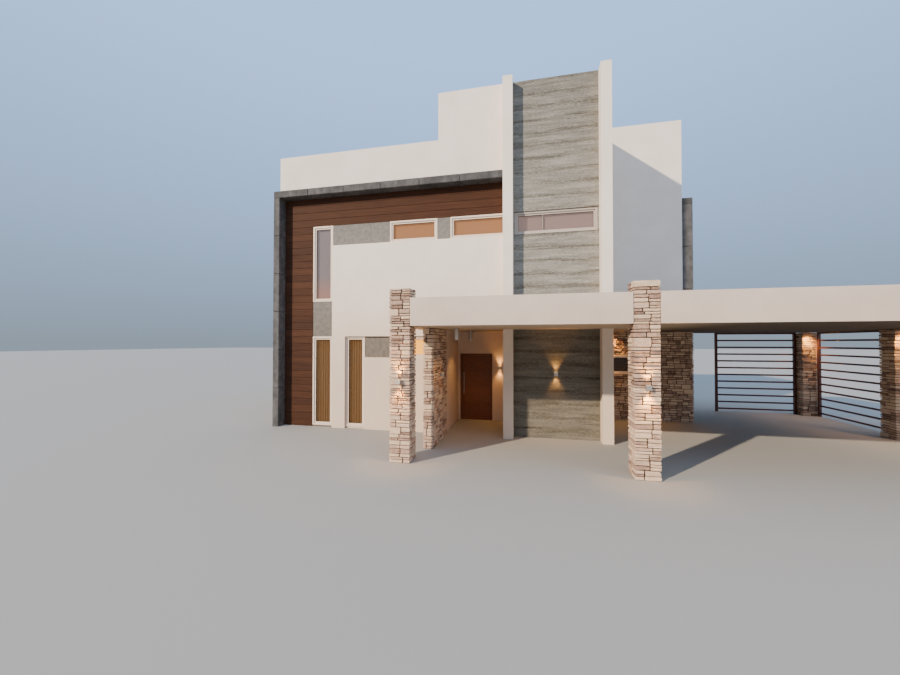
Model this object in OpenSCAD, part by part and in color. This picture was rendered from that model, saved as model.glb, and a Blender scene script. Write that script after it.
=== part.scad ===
// Modern detached house: a white rendered block of two storeys with a top room, a tall
// concrete and white tower, a recessed entrance, and a flat canopy on stone piers that
// runs on over a carport.
// Plan coordinates: x runs right from the left wall's outer face, y runs back from the
// front wall's face, z is up from the ground. place() puts the middle of the base at 0.

/* [Plan] */
// Width of the left wing, from the left wall to the raised block
left_wing_w = 5440; // [4500:10:6500]
// Width of the entrance bay, from the raised block's left wall to the left fin
entrance_bay_w = 1960; // [1700:10:2600]
// Clear width between the two fins of the tower
tower_gap_w = 2350; // [1600:10:3200]
// Width of the right wing, from the right fin to the right wall
right_wing_w = 2910; // [2000:10:4500]
// Width of the carport beyond the right wall
carport_w = 5350; // [3500:10:6500]
// Depth of the house behind the front wall's face
house_d = 9470; // [8400:10:12000]
// How far the right wing is set back behind the front wall's face
right_setback = 3020; // [2400:10:3200]
// How far the canopy reaches in front of the front wall's face
canopy_d = 2910; // [2400:10:4000]
// How far the carport roof reaches behind the front wall's face
carport_back = 5770; // [4800:10:7600]

/* [Heights] */
// Height of the soffit, which is the underside of the canopy and of the upper floor
soffit_z = 3080; // [2900:10:3300]
// Clear height of the upper storey
upper_clear_h = 3420; // [3400:10:3900]
// Height of the terrace parapet above the terrace slab
parapet_h = 1760; // [900:10:2200]
// Clear height of the top room
top_clear_h = 2600; // [2400:10:3200]
// Height of the raised block's upstand above its roof slab
upstand_h = 300; // [150:10:600]
// Height of the lintels over the windows of the upper floor and the top room
lintel_h = 325; // [200:5:400]

/* [Walls and slabs] */
// Thickness of the outer walls
wall_t = 300; // [220:5:360]
// Thickness of the tower's concrete wall between the fins
tower_wall_t = 200; // [150:5:300]
// Thickness of the wall on the left of the entrance recess
recess_wall_t = 230; // [150:5:300]
// Thickness of the suspended floor and roof slabs
slab_t = 300; // [200:5:350]
// Height of the ground floor above the ground
ground_slab_t = 50; // [30:5:100]
// Thickness of the canopy slab
canopy_slab_t = 250; // [150:5:350]

/* [Tower fins] */
// Thickness of a fin
fin_w = 280; // [200:5:400]
// How far the fins stand out from the front wall
fin_proud = 330; // [200:5:500]

/* [Concrete frames] */
// Face width of the concrete frame's leg and beam
frame_w = 220; // [150:5:320]
// How far the front frame stands out from the front wall, and the side frame from its wall
frame_proud = 330; // [200:5:500]
// Height of the frames' top above the terrace
frame_rise = 520; // [450:10:900]

/* [Front cladding] */
// Width of the upright strip of boards
wood_strip_w = 1030; // [600:10:1400]
// Thickness of the boards
wood_t = 20; // [12:1:40]
// Thickness of the grey render coat
render_t = 10; // [5:1:20]
// How far the white panel stands out from the front wall
panel_t = 80; // [50:5:150]
// Width of the wall strip between the two tall ground floor windows
panel_strip_w = 450; // [300:10:700]

/* [Windows] */
// Width of the upright window strip, which is also the width of its windows
tall_w = 710; // [500:10:900]
// Width of the tall window in the white panel
garden_w = 660; // [500:10:900]
// Height of the upper floor's tall windows
tall_h = 2450; // [1800:10:2700]
// Height of the upper floor's band of shallow windows
band_h = 660; // [400:10:900]
// Height of the heads of the ground floor windows
lower_head_z = 2900; // [2500:10:2950]
// Height of the ground floor's band of shallow windows
lower_band_h = 660; // [400:10:900]
// Width of a shallow window
shallow_w = 1520; // [1000:10:1800]
// Wall between the left wing's shallow windows and the raised block
shallow_margin = 20; // [10:5:200]
// Wall to the left of the raised block's shallow window, which runs on into the fin
bay_margin = 380; // [200:10:450]
// Width of the jamb beside the tower window
tower_jamb = 40; // [20:5:200]
// Height of the tower window
tower_window_h = 645; // [400:5:900]
// Width of the slot window in the stone wall
slot_w = 1700; // [1000:10:2400]
// Height of the slot window
slot_h = 670; // [400:10:800]
// Height of the slot window's sill
slot_sill_z = 1600; // [1200:10:2200]
// Distance of the slot window from the right fin
slot_margin = 190; // [100:10:400]
// Face width of the window casings
casing_w = 55; // [40:5:90]
// Depth of the window casings
casing_d = 150; // [140:5:170]
// How far the front wall's casings stand out over the boards and the render
casing_proud = 25; // [20:5:60]
// How far the other casings sit back from their wall's face
casing_back = 20; // [5:5:50]
// Face width of a sash inside its casing
sash_w = 45; // [30:5:70]
// Depth of a sash
sash_d = 60; // [50:5:70]
// How far a sash sits back from the casing's face
sash_back = 25; // [20:5:70]
// Width of the bar between two panes
mullion_w = 15; // [10:5:80]
// Thickness of the glazing
glass_t = 24; // [16:2:40]

/* [Entrance] */
// Depth of the entrance recess behind the front wall's face
recess_d = 2050; // [1600:10:2300]
// Width of the door opening
door_w = 1130; // [1000:10:1130]
// Height of the door opening
door_h = 2320; // [2100:10:2500]
// Width of the wall return on the left of the door
door_return = 70; // [50:5:150]
// Face width of the door frame
door_frame_w = 60; // [40:5:90]
// Depth of the door frame
door_frame_d = 100; // [80:5:140]
// How far the door frame sits back from the wall's face
door_frame_back = 30; // [10:5:60]
// Height of the door sill above the ground
door_sill_h = 70; // [60:5:110]
// Thickness of the door leaf
leaf_t = 60; // [40:5:75]
// Gap round the door leaf
leaf_gap = 5; // [5:1:8]
// Number of level panels that the leaf's grooves divide it into
leaf_panels = 4; // [2:1:8]
// Width of a groove in the leaf
groove_w = 8; // [4:1:15]
// Depth of a groove in the leaf
groove_d = 5; // [3:1:10]
// Length of the pull bar
pull_l = 760; // [400:10:1400]
// Diameter of the pull bar
pull_dia = 32; // [25:1:40]
// Height of the pull bar's lower end
pull_z = 910; // [600:10:1000]
// Distance of the pull bar's middle from the leaf's edge
pull_edge = 65; // [50:5:120]
// Distance of the pull bar's middle from the leaf's face
pull_off = 54; // [45:1:80]

/* [Hinges] */
// Radius of a hinge knuckle
knuckle_r = 9; // [7:0.5:12]
// Length of a hinge knuckle
knuckle_l = 60; // [40:5:90]
// Radius of a hinge pin
pin_r = 5; // [3:0.5:6]
// Running clearance round a hinge pin
pin_fit = 0.1; // [0.05:0.05:0.3]
// Gap between the knuckles of a hinge
knuckle_gap = 0.3; // [0.2:0.1:1]
// Width of a hinge plate
plate_w = 40; // [25:1:50]
// Thickness of a hinge plate
plate_t = 3; // [2:0.5:5]

/* [Canopy and piers] */
// Side of a square stone pier
pier_w = 500; // [400:10:650]
// Height of the front piers
pier_h = 3950; // [3750:10:4200]
// Height of the canopy's fascia
fascia_h = 630; // [400:10:650]
// Thickness of the canopy's fascia
fascia_t = 150; // [100:5:250]
// Canopy's reach to the left of the raised block
canopy_left_reach = 435; // [300:5:900]
// Distance of the middle pier's left face from the right fin's left face
middle_pier_dx = 100; // [0:5:200]
// Distance of the side pier's front face behind the front wall's face
side_pier_y = 1770; // [1200:10:2500]
// Distance of the right-hand piers' outer faces from the canopy's outer face
pier_inset = 30; // [0:5:60]
// Thickness of the stone wing wall
wing_t = 290; // [200:5:350]
// Gap between the left pier's back and the wing wall
wing_gap = 700; // [500:10:1000]
// How far the stone wall reaches past the right wall
stone_reach = 330; // [200:5:500]

/* [Screens] */
// Length of the back screen
back_screen_l = 2720; // [2000:10:3200]
// Side of a screen's square posts
post_w = 80; // [60:5:100]
// Height of a screen's rail
rail_h = 60; // [30:5:90]
// Thickness of a screen's rail
rail_t = 30; // [20:5:50]
// Spacing of the rails, down from the soffit
rail_pitch = 266; // [180:2:400]
// Distance of the back screen from the corner pier's back
screen_back = 100; // [0:10:300]

/* [Lights] */
// Side of an up and down wall light
light_w = 100; // [80:5:150]
// Depth of a wall light
light_d = 90; // [70:5:130]
// Height of the middle of the wall lights
light_z = 1820; // [1500:10:2200]
// Wall of a wall light's housing
light_wall = 6; // [3:1:12]
// Depth of the mouths of the wall lights, above and below, and of the ceiling lights
light_mouth = 30; // [15:1:35]
// Diameter of a ceiling light
downlight_dia = 120; // [80:5:160]
// Length of a ceiling light
downlight_l = 310; // [150:10:400]
// Wall of a ceiling light's tube
downlight_wall = 5; // [3:1:10]
// Distance of the portico's ceiling light behind the canopy's front
portico_light_y = 1360; // [600:10:2000]
// Distance of the recess's ceiling light in front of the door wall
recess_light_y = 1250; // [400:10:1400]
// Diameter of a flush soffit light
spot_dia = 110; // [70:5:160]
// Height of a flush soffit light
spot_h = 20; // [10:1:25]
// Width of a flush soffit light's rim
spot_rim = 10; // [5:1:20]
// Distance of a flush soffit light from the stone that it lights
spot_off = 140; // [100:5:250]
// Distance of the piers' soffit lights from the piers' left edge
spot_in = 150; // [80:10:400]
// Distance of the stone wall's soffit light from the right fin
spot_wall_x = 600; // [300:10:900]

/* [Hidden] */
$fn = 48;

// Overlap of a cutting tool past the face that it cuts
cut = 10;

// Plan lines from left to right
block_x = left_wing_w;
fin_left_x = block_x + entrance_bay_w;
tower_x0 = fin_left_x + fin_w;
tower_x1 = tower_x0 + tower_gap_w;
wing_x = tower_x1 + fin_w;
right_x = wing_x + right_wing_w;
total_x = right_x + carport_w;
canopy_x = block_x - canopy_left_reach;
middle_pier_x = tower_x1 + middle_pier_dx;
right_pier_x = total_x - pier_inset - pier_w;
recess_x = block_x + recess_wall_t;
door_x0 = recess_x + door_return;
door_x1 = door_x0 + door_w;
wing_wall_x = door_x0 - wing_t;
stone_end_x = right_x + stone_reach;

// Plan lines from front to back
pier_back_y = pier_w - canopy_d;
door_wall_y = recess_d;
inner_back_y = house_d - wall_t;
wing_front_y = right_setback;
corner_pier_y = carport_back - pier_w;
front_y = -canopy_d - light_d;

// Levels
upper_floor_z = soffit_z + slab_t;
terrace_soffit_z = upper_floor_z + upper_clear_h;
terrace_z = terrace_soffit_z + slab_t;
parapet_z = terrace_z + parapet_h;
top_soffit_z = terrace_z + top_clear_h;
top_slab_z = top_soffit_z + slab_t;
block_top_z = top_slab_z + upstand_h;
fascia_z = soffit_z + fascia_h;
frame_top_z = terrace_z + frame_rise;
beam_z = frame_top_z - frame_w;
upper_head_z = terrace_soffit_z - lintel_h;
band_z = upper_head_z - band_h;
tall_z = upper_head_z - tall_h;
lower_band_z = lower_head_z - lower_band_h;
top_head_z = top_soffit_z - lintel_h;

// Front cladding, from left to right
strip_x = frame_w + wood_strip_w;
panel_x = strip_x + tall_w;
garden_x = panel_x + panel_strip_w;
garden_end_x = garden_x + garden_w;
shallow_x1 = block_x - shallow_margin;

// Windows as [start, end, sill, head, shares of the panes], measured along their wall
function tall_low(a) = [a, a + tall_w, ground_slab_t, lower_head_z, [1]];
function tall_up(a) = [a, a + tall_w, tall_z, upper_head_z, [1]];
function shallow_low(a) = [a, a + shallow_w, lower_band_z, lower_head_z, [1]];
function shallow_up(a) = [a, a + shallow_w, band_z, upper_head_z, [1]];
function shallow_top(a) = [a, a + shallow_w, top_head_z - band_h, top_head_z, [1]];

front_windows = [tall_up(strip_x), tall_low(strip_x),
  [garden_x, garden_end_x, ground_slab_t, lower_head_z, [1]],
  shallow_low(shallow_x1 - shallow_w), shallow_up(shallow_x1 - shallow_w)];
bay_windows = [[block_x + bay_margin, fin_left_x + casing_w + sash_w, band_z,
  upper_head_z, [1]]];
tower_windows = [[tower_x0 + tower_jamb, tower_x1 - tower_jamb,
  upper_head_z - tower_window_h, upper_head_z, [1, 2]]];
slot_windows = [[wing_x + slot_margin, wing_x + slot_margin + slot_w,
  slot_sill_z, slot_sill_z + slot_h, [1]]];

// The side walls' windows keep to these places along y
side_pitch = (inner_back_y - wall_t) / 5;
function side_y(i) = wall_t + i * side_pitch;
left_windows = [tall_low(side_y(1)), shallow_low(side_y(2)), tall_low(side_y(4)),
  tall_up(side_y(1)), shallow_up(side_y(2)), tall_up(side_y(4))];
right_windows = [tall_up(side_y(2)), shallow_up(side_y(3)), tall_up(side_y(4)),
  shallow_low(side_y(3)), shallow_top(side_y(3))];
terrace_windows = [[side_y(1), side_y(1) + 2 * tall_w, terrace_z + ground_slab_t,
  top_head_z, [1, 1]], shallow_top(side_y(3))];

// The back wall's windows keep to these places along x
back_pitch = (right_x - 2 * wall_t) / 7;
function back_x(i) = wall_t + i * back_pitch;
function glazed_low(a) = [a, a + 2 * garden_w, ground_slab_t, lower_head_z, [1, 1]];
back_windows = [glazed_low(back_x(0.5)), shallow_low(back_x(2.5)),
  glazed_low(back_x(4.5)), tall_up(back_x(0.5)), shallow_up(back_x(1.5)),
  shallow_up(back_x(3.5)), tall_up(back_x(5)), tall_up(back_x(6))];
top_back_windows = [shallow_top(back_x(3.5)), shallow_top(back_x(5.3))];

// Door leaf and hinges
frame_y0 = door_wall_y + door_frame_back;
frame_y1 = frame_y0 + door_frame_d;
leaf_x0 = door_x0 + door_frame_w + leaf_gap;
leaf_x1 = door_x1 - door_frame_w - leaf_gap;
leaf_z0 = door_sill_h + leaf_gap;
leaf_z1 = door_h - door_frame_w - leaf_gap;
leaf_y = frame_y1 - leaf_t;
hinge_x = leaf_x1 + leaf_gap / 2;
hinge_y = frame_y1 + plate_t - 1 + knuckle_r;
hinge_count = 4;
hinge_end = 220;
hinge_zs = [for (i = [0 : hinge_count - 1])
  leaf_z0 + hinge_end + i * (leaf_z1 - leaf_z0 - 2 * hinge_end) / (hinge_count - 1)];

module place() {
  translate([-total_x / 2, -(front_y + house_d) / 2, 0]) children();
}

module block(x0, x1, y0, y1, z0, z1) {
  translate([x0, y0, z0]) cube([x1 - x0, y1 - y0, z1 - z0]);
}

// A wall along x, from y0 to y1, with its windows cut through
module wall_along_x(x0, x1, y0, y1, z0, z1, windows = []) {
  difference() {
    block(x0, x1, y0, y1, z0, z1);
    for (w = windows) block(w[0], w[1], y0 - cut, y1 + cut, w[2], w[3]);
  }
}

// A wall along y, from x0 to x1, with its windows cut through
module wall_along_y(x0, x1, y0, y1, z0, z1, windows = []) {
  difference() {
    block(x0, x1, y0, y1, z0, z1);
    for (w = windows) block(x0 - cut, x1 + cut, w[0], w[1], w[2], w[3]);
  }
}

// Sum of the first n entries of v
function sum(v, n) = n == 0 ? 0 : v[n - 1] + sum(v, n - 1);

// Start and end of a window's pane i, between its sash and the bars
function pane_ends(w, i) =
  let (n = len(w[4]),
       start = w[0] + casing_w + sash_w,
       share = (w[1] - start - casing_w - sash_w - (n - 1) * mullion_w) / sum(w[4], n),
       a = start + sum(w[4], i) * share + i * mullion_w)
  [a, a + w[4][i] * share];

// Block that fills a window's opening inside a margin, from y0 to y1
module window_block(w, margin, y0, y1) {
  block(w[0] + margin, w[1] - margin, y0, y1, w[2] + margin, w[3] - margin);
}

// Pane i of a window, from y0 to y1
module pane_block(w, i, y0, y1) {
  ends = pane_ends(w, i);
  block(ends[0], ends[1], y0, y1, w[2] + casing_w + sash_w, w[3] - casing_w - sash_w);
}

// Casing with its sash, of one window whose face is at y = 0 and looks along -y
module casing(w) {
  difference() {
    window_block(w, 0, 0, casing_d);
    window_block(w, casing_w, -cut, sash_back);
    window_block(w, casing_w, sash_back + sash_d, casing_d + cut);
    for (i = [0 : len(w[4]) - 1]) pane_block(w, i, -cut, casing_d + cut);
  }
}

// Glass of that window
module panes(w) {
  middle = sash_back + sash_d / 2;
  for (i = [0 : len(w[4]) - 1]) pane_block(w, i, middle - glass_t / 2, middle + glass_t / 2);
}

// These put a unit into each window of a wall, with its face on the given plane: the
// child is made from $w
module in_front(windows, y) {
  for (w = windows) translate([0, y, 0]) { $w = w; children(); }
}
module in_left(windows, x) {
  for (w = windows) translate([x, 0, 0]) mirror([1, -1, 0]) { $w = w; children(); }
}
module in_right(windows, x) {
  for (w = windows) translate([x, 0, 0]) rotate([0, 0, 90]) { $w = w; children(); }
}
module in_back(windows, y) {
  for (w = windows) translate([0, y, 0]) mirror([0, 1, 0]) { $w = w; children(); }
}
module all_windows() {
  in_front(front_windows, -casing_proud) children();
  in_front(bay_windows, -casing_proud) children();
  in_front(tower_windows, casing_back) children();
  in_front(slot_windows, wing_front_y + casing_back) children();
  in_left(left_windows, casing_back) children();
  in_left(terrace_windows, block_x + casing_back) children();
  in_right(right_windows, right_x - casing_back) children();
  in_back(back_windows, house_d - casing_back) children();
  in_back(top_back_windows, house_d - casing_back) children();
}

// Inside outline of the storeys, over the entrance recess too
module storey_outline(x0) {
  polygon([[x0, wall_t], [tower_x0, wall_t], [tower_x0, tower_wall_t],
    [tower_x1, tower_wall_t], [tower_x1, wing_front_y + wall_t],
    [right_x - wall_t, wing_front_y + wall_t], [right_x - wall_t, inner_back_y],
    [x0, inner_back_y]]);
}

module ground_floor_slab() {
  color("gainsboro") place() linear_extrude(ground_slab_t) difference() {
    storey_outline(wall_t);
    translate([block_x, 0]) square([tower_x0 - block_x, door_wall_y + wall_t]);
  }
}

module upper_floor_slab() {
  color("white") place() translate([0, 0, soffit_z]) linear_extrude(slab_t)
    storey_outline(wall_t);
}

module roof_terrace_slab() {
  color("lightgray") place() translate([0, 0, terrace_soffit_z]) linear_extrude(slab_t)
    storey_outline(wall_t);
}

module top_roof_slab() {
  color("lightgray") place() translate([0, 0, top_soffit_z]) linear_extrude(slab_t)
    storey_outline(block_x + wall_t);
}

module front_wall() {
  color("white") place()
    wall_along_x(0, block_x, 0, wall_t, 0, terrace_z, front_windows);
}

module front_parapet() {
  color("white") place() block(0, block_x, 0, wall_t, terrace_z, parapet_z);
}

module left_wall() {
  color("white") place()
    wall_along_y(0, wall_t, wall_t, inner_back_y, 0, terrace_z, left_windows);
}

module left_parapet() {
  color("white") place() block(0, wall_t, wall_t, inner_back_y, terrace_z, parapet_z);
}

module back_wall() {
  color("white") place()
    wall_along_x(0, right_x, inner_back_y, house_d, 0, terrace_z, back_windows);
}

module back_parapet() {
  color("white") place() block(0, block_x, inner_back_y, house_d, terrace_z, parapet_z);
}

module top_front_wall() {
  color("white") place()
    wall_along_x(block_x, fin_left_x, 0, wall_t, soffit_z, block_top_z, bay_windows);
}

module top_left_wall() {
  color("white") place() wall_along_y(block_x, block_x + wall_t, wall_t, inner_back_y,
    terrace_z, block_top_z, terrace_windows);
}

module top_back_wall() {
  color("white") place() wall_along_x(block_x, right_x, inner_back_y, house_d,
    terrace_z, block_top_z, top_back_windows);
}

module right_front_wall() {
  color("white") place()
    block(wing_x, right_x, wing_front_y, wing_front_y + wall_t, soffit_z, block_top_z);
}

module right_wall() {
  color("white") place() wall_along_y(right_x - wall_t, right_x, wing_front_y + wall_t,
    inner_back_y, 0, block_top_z, right_windows);
}

module left_fin() {
  color("white") place() difference() {
    block(fin_left_x, tower_x0, -fin_proud, wall_t, 0, block_top_z);
    for (w = bay_windows) window_block(w, 0, -casing_proud, casing_d - casing_proud);
  }
}

module right_fin() {
  color("white") place()
    block(tower_x1, wing_x, -fin_proud, wing_front_y + wall_t, 0, block_top_z);
}

module tower_concrete_wall() {
  color("darkgray") place() wall_along_x(tower_x0, tower_x1, 0, tower_wall_t, 0,
    block_top_z, tower_windows);
}

module recess_left_wall() {
  color("white") place() block(block_x, recess_x, 0, door_wall_y + wall_t, 0, soffit_z);
}

module recess_right_wall() {
  color("white") place()
    block(fin_left_x, tower_x0, wall_t, door_wall_y + wall_t, 0, soffit_z);
}

module door_side_walls() {
  color("white") place() {
    block(recess_x, door_x0, door_wall_y, door_wall_y + wall_t, 0, soffit_z);
    block(door_x1, fin_left_x, door_wall_y, door_wall_y + wall_t, 0, soffit_z);
  }
}

module door_head_wall() {
  color("white") place()
    block(door_x0, door_x1, door_wall_y, door_wall_y + wall_t, door_h, soffit_z);
}

module stone_wall() {
  color("tan") place() wall_along_x(wing_x, stone_end_x, wing_front_y,
    wing_front_y + wall_t, 0, soffit_z, slot_windows);
}

module wood_cladding() {
  color("saddlebrown") place() {
    block(frame_w, strip_x, -wood_t, 0, 0, upper_head_z);
    block(frame_w, fin_left_x, -wood_t, 0, upper_head_z, beam_z);
  }
}

module grey_render() {
  color("gray") place() {
    wall_along_x(strip_x, panel_x, -render_t, 0, 0, band_z, front_windows);
    wall_along_x(strip_x, fin_left_x, -render_t, 0, band_z, upper_head_z,
      concat(front_windows, bay_windows));
    wall_along_x(garden_end_x, block_x, -render_t, 0, lower_band_z, lower_head_z,
      front_windows);
  }
}

module white_panel() {
  color("white") place() difference() {
    union() {
      block(panel_x, fin_left_x, -panel_t, 0, soffit_z, band_z);
      block(panel_x, block_x, -panel_t, 0, 0, soffit_z);
    }
    block(garden_x, garden_end_x, -panel_t - cut, cut, -cut, lower_head_z);
    block(garden_x, block_x + cut, -panel_t - cut, cut, lower_band_z, lower_head_z);
  }
}

module front_concrete_frame() {
  color("dimgray") place() {
    block(0, frame_w, -frame_proud, 0, 0, beam_z);
    block(0, fin_left_x, -frame_proud, 0, beam_z, frame_top_z);
  }
}

module side_concrete_frame() {
  color("dimgray") place() {
    block(right_x, right_x + frame_proud, wing_front_y, wing_front_y + frame_w,
      soffit_z, beam_z);
    block(right_x, right_x + frame_proud, wing_front_y, house_d, beam_z, frame_top_z);
    block(right_x, right_x + frame_proud, house_d - frame_w, house_d, 0, beam_z);
  }
}

// Plan of the canopy without the house that it meets, inside the given outer margin
module canopy_outline(margin) {
  difference() {
    translate([canopy_x + margin, -canopy_d + margin])
      square([total_x - canopy_x - 2 * margin, canopy_d + carport_back - 2 * margin]);
    translate([0, -panel_t]) square([fin_left_x, house_d]);
    translate([fin_left_x, -fin_proud]) square([fin_w, house_d]);
    translate([tower_x0, 0]) square([tower_gap_w, house_d]);
    translate([tower_x1, -fin_proud]) square([fin_w, house_d]);
    translate([wing_x, wing_front_y]) square([right_wing_w, house_d]);
    translate([right_x, wing_front_y]) square([frame_proud, frame_w]);
    for (p = front_pier_xs) translate([p, -canopy_d]) square(pier_w);
  }
}
front_pier_xs = [canopy_x, middle_pier_x, right_pier_x];

module canopy_slab() {
  color("white") place() translate([0, 0, soffit_z]) linear_extrude(canopy_slab_t)
    canopy_outline(fascia_t);
}

module canopy_fascia() {
  color("white") place() translate([0, 0, soffit_z]) linear_extrude(fascia_h) difference() {
    canopy_outline(0);
    translate([canopy_x + fascia_t, -canopy_d + fascia_t])
      square([total_x - canopy_x - 2 * fascia_t, canopy_d + carport_back - 2 * fascia_t]);
  }
}

module pier(x, y, h) {
  color("tan") place() block(x, x + pier_w, y, y + pier_w, 0, h);
}

module left_pier() { pier(canopy_x, -canopy_d, pier_h); }
module middle_pier() { pier(middle_pier_x, -canopy_d, pier_h); }
module right_pier() { pier(right_pier_x, -canopy_d, pier_h); }
module side_pier() { pier(right_pier_x, side_pier_y, soffit_z); }
module corner_pier() { pier(right_pier_x, corner_pier_y, soffit_z); }

module stone_wing_wall() {
  color("tan") place()
    block(wing_wall_x, door_x0, pier_back_y + wing_gap, -panel_t, 0, soffit_z);
}

// Screen of level rails between two posts, along x from 0 to length
module screen(length) {
  rails = floor((soffit_z - rail_h) / rail_pitch);
  for (x = [0, length - post_w]) block(x, x + post_w, 0, post_w, 0, soffit_z);
  for (i = [0 : rails])
    translate([post_w, (post_w - rail_t) / 2, soffit_z - rail_h - i * rail_pitch])
      cube([length - 2 * post_w, rail_t, rail_h]);
}

module back_screen() {
  color("maroon") place()
    translate([right_pier_x - back_screen_l, carport_back - screen_back - post_w, 0])
      screen(back_screen_l);
}

module side_screens() {
  back_y = side_pier_y + pier_w;
  color("maroon") place() {
    translate([total_x, back_y, 0]) rotate([0, 0, 90]) screen(corner_pier_y - back_y);
    translate([total_x, pier_back_y, 0]) rotate([0, 0, 90])
      screen(side_pier_y - pier_back_y);
  }
}

module window_frames() {
  color("white") place() all_windows() casing($w);
}

module window_glass() {
  color("slategray") place() all_windows() panes($w);
}

module door_frame() {
  color("maroon") place() difference() {
    block(door_x0, door_x1, frame_y0, frame_y1, 0, door_h);
    block(door_x0 + door_frame_w, door_x1 - door_frame_w, frame_y0 - cut, frame_y1 + cut,
      door_sill_h, door_h - door_frame_w);
  }
}

module door_hinges() {
  color("silver") place() for (z = hinge_zs) translate([hinge_x, hinge_y, z]) {
    translate([0, 0, -knuckle_l]) cylinder(r = knuckle_r, h = knuckle_l);
    cylinder(r = pin_r, h = knuckle_l);
    translate([0, frame_y1 - hinge_y, -knuckle_l]) cube([plate_w, plate_t, knuckle_l]);
  }
}

module leaf_hinges() {
  color("silver") place() for (z = hinge_zs)
    translate([hinge_x, hinge_y, z + knuckle_gap]) difference() {
      union() {
        cylinder(r = knuckle_r, h = knuckle_l);
        translate([-plate_w, frame_y1 - hinge_y, 0]) cube([plate_w, plate_t, knuckle_l]);
      }
      translate([0, 0, -cut]) cylinder(r = pin_r + pin_fit, h = knuckle_l + 2 * cut);
    }
}

module door_leaf() {
  panel_h = (leaf_z1 - leaf_z0) / leaf_panels;
  color("brown") place() difference() {
    block(leaf_x0, leaf_x1, leaf_y, leaf_y + leaf_t, leaf_z0, leaf_z1);
    for (i = [1 : leaf_panels - 1]) translate([0, 0, leaf_z0 + i * panel_h - groove_w / 2])
      block(leaf_x0 - cut, leaf_x1 + cut, leaf_y - cut, leaf_y + groove_d, 0, groove_w);
  }
}

module door_pull() {
  color("silver") place() translate([leaf_x0 + pull_edge, leaf_y - pull_off, pull_z]) {
    cylinder(d = pull_dia, h = pull_l);
    for (z = [pull_l / 6, pull_l * 5 / 6])
      translate([0, 0, z]) rotate([-90, 0, 0]) cylinder(d = pull_dia / 2, h = pull_off);
  }
}

// Box light with its back on the plane y = 0, facing -y, open above and below
module wall_light() {
  half = light_w / 2;
  difference() {
    block(-half, half, -light_d, 0, -half, half);
    for (z = [half - light_mouth, -half - cut])
      translate([0, 0, z]) block(light_wall - half, half - light_wall,
        light_wall - light_d, -light_wall, 0, light_mouth + cut);
  }
}

module wall_lights() {
  color("silver") place() translate([0, 0, light_z]) {
    for (p = [canopy_x, middle_pier_x])
      translate([p + pier_w / 2, -canopy_d, 0]) wall_light();
    translate([(door_x1 + fin_left_x) / 2, door_wall_y, 0]) wall_light();
    translate([(tower_x0 + tower_x1) / 2, 0, 0]) wall_light();
    translate([door_x0, (pier_back_y + wing_gap - panel_t) / 2, 0])
      rotate([0, 0, 90]) wall_light();
  }
}

// Tube light that hangs from the soffit, open below
module tube_light() {
  translate([0, 0, soffit_z - downlight_l]) difference() {
    cylinder(d = downlight_dia, h = downlight_l);
    translate([0, 0, -cut])
      cylinder(d = downlight_dia - 2 * downlight_wall, h = light_mouth + cut);
  }
}

// Flush light on the soffit: a rim round a lens that sits a little higher
module spot_light() {
  translate([0, 0, soffit_z - spot_h]) difference() {
    cylinder(d = spot_dia, h = spot_h);
    translate([0, 0, -cut]) cylinder(d = spot_dia - 2 * spot_rim, h = cut + spot_h / 2);
  }
}

module ceiling_lights() {
  color("silver") place() {
    for (y = [portico_light_y - canopy_d, door_wall_y - recess_light_y])
      translate([(door_x0 + door_x1) / 2, y, 0]) tube_light();
    for (y = [side_pier_y, corner_pier_y])
      translate([right_pier_x + spot_in, y - spot_off, 0]) spot_light();
    translate([wing_x + spot_wall_x, wing_front_y - spot_off, 0]) spot_light();
  }
}

ground_floor_slab();
upper_floor_slab();
roof_terrace_slab();
top_roof_slab();
front_wall();
front_parapet();
left_wall();
left_parapet();
back_wall();
back_parapet();
top_front_wall();
top_left_wall();
top_back_wall();
right_front_wall();
right_wall();
left_fin();
right_fin();
tower_concrete_wall();
recess_left_wall();
recess_right_wall();
door_side_walls();
door_head_wall();
stone_wall();
wood_cladding();
grey_render();
white_panel();
front_concrete_frame();
side_concrete_frame();
canopy_slab();
canopy_fascia();
left_pier();
middle_pier();
right_pier();
side_pier();
corner_pier();
stone_wing_wall();
back_screen();
side_screens();
window_frames();
window_glass();
door_frame();
door_hinges();
wall_lights();
ceiling_lights();
door_leaf();
door_pull();
leaf_hinges();
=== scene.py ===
"""Dresses a modern detached house: render, split stone, boards, cast concrete, windows with
curtains, the entrance door, lamps and slatted screens, seen from the photograph's place."""

import logging
import math
import random
from contextlib import contextmanager
from dataclasses import dataclass, field
from enum import Enum
from typing import Any, Callable, Iterator, Sequence

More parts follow.
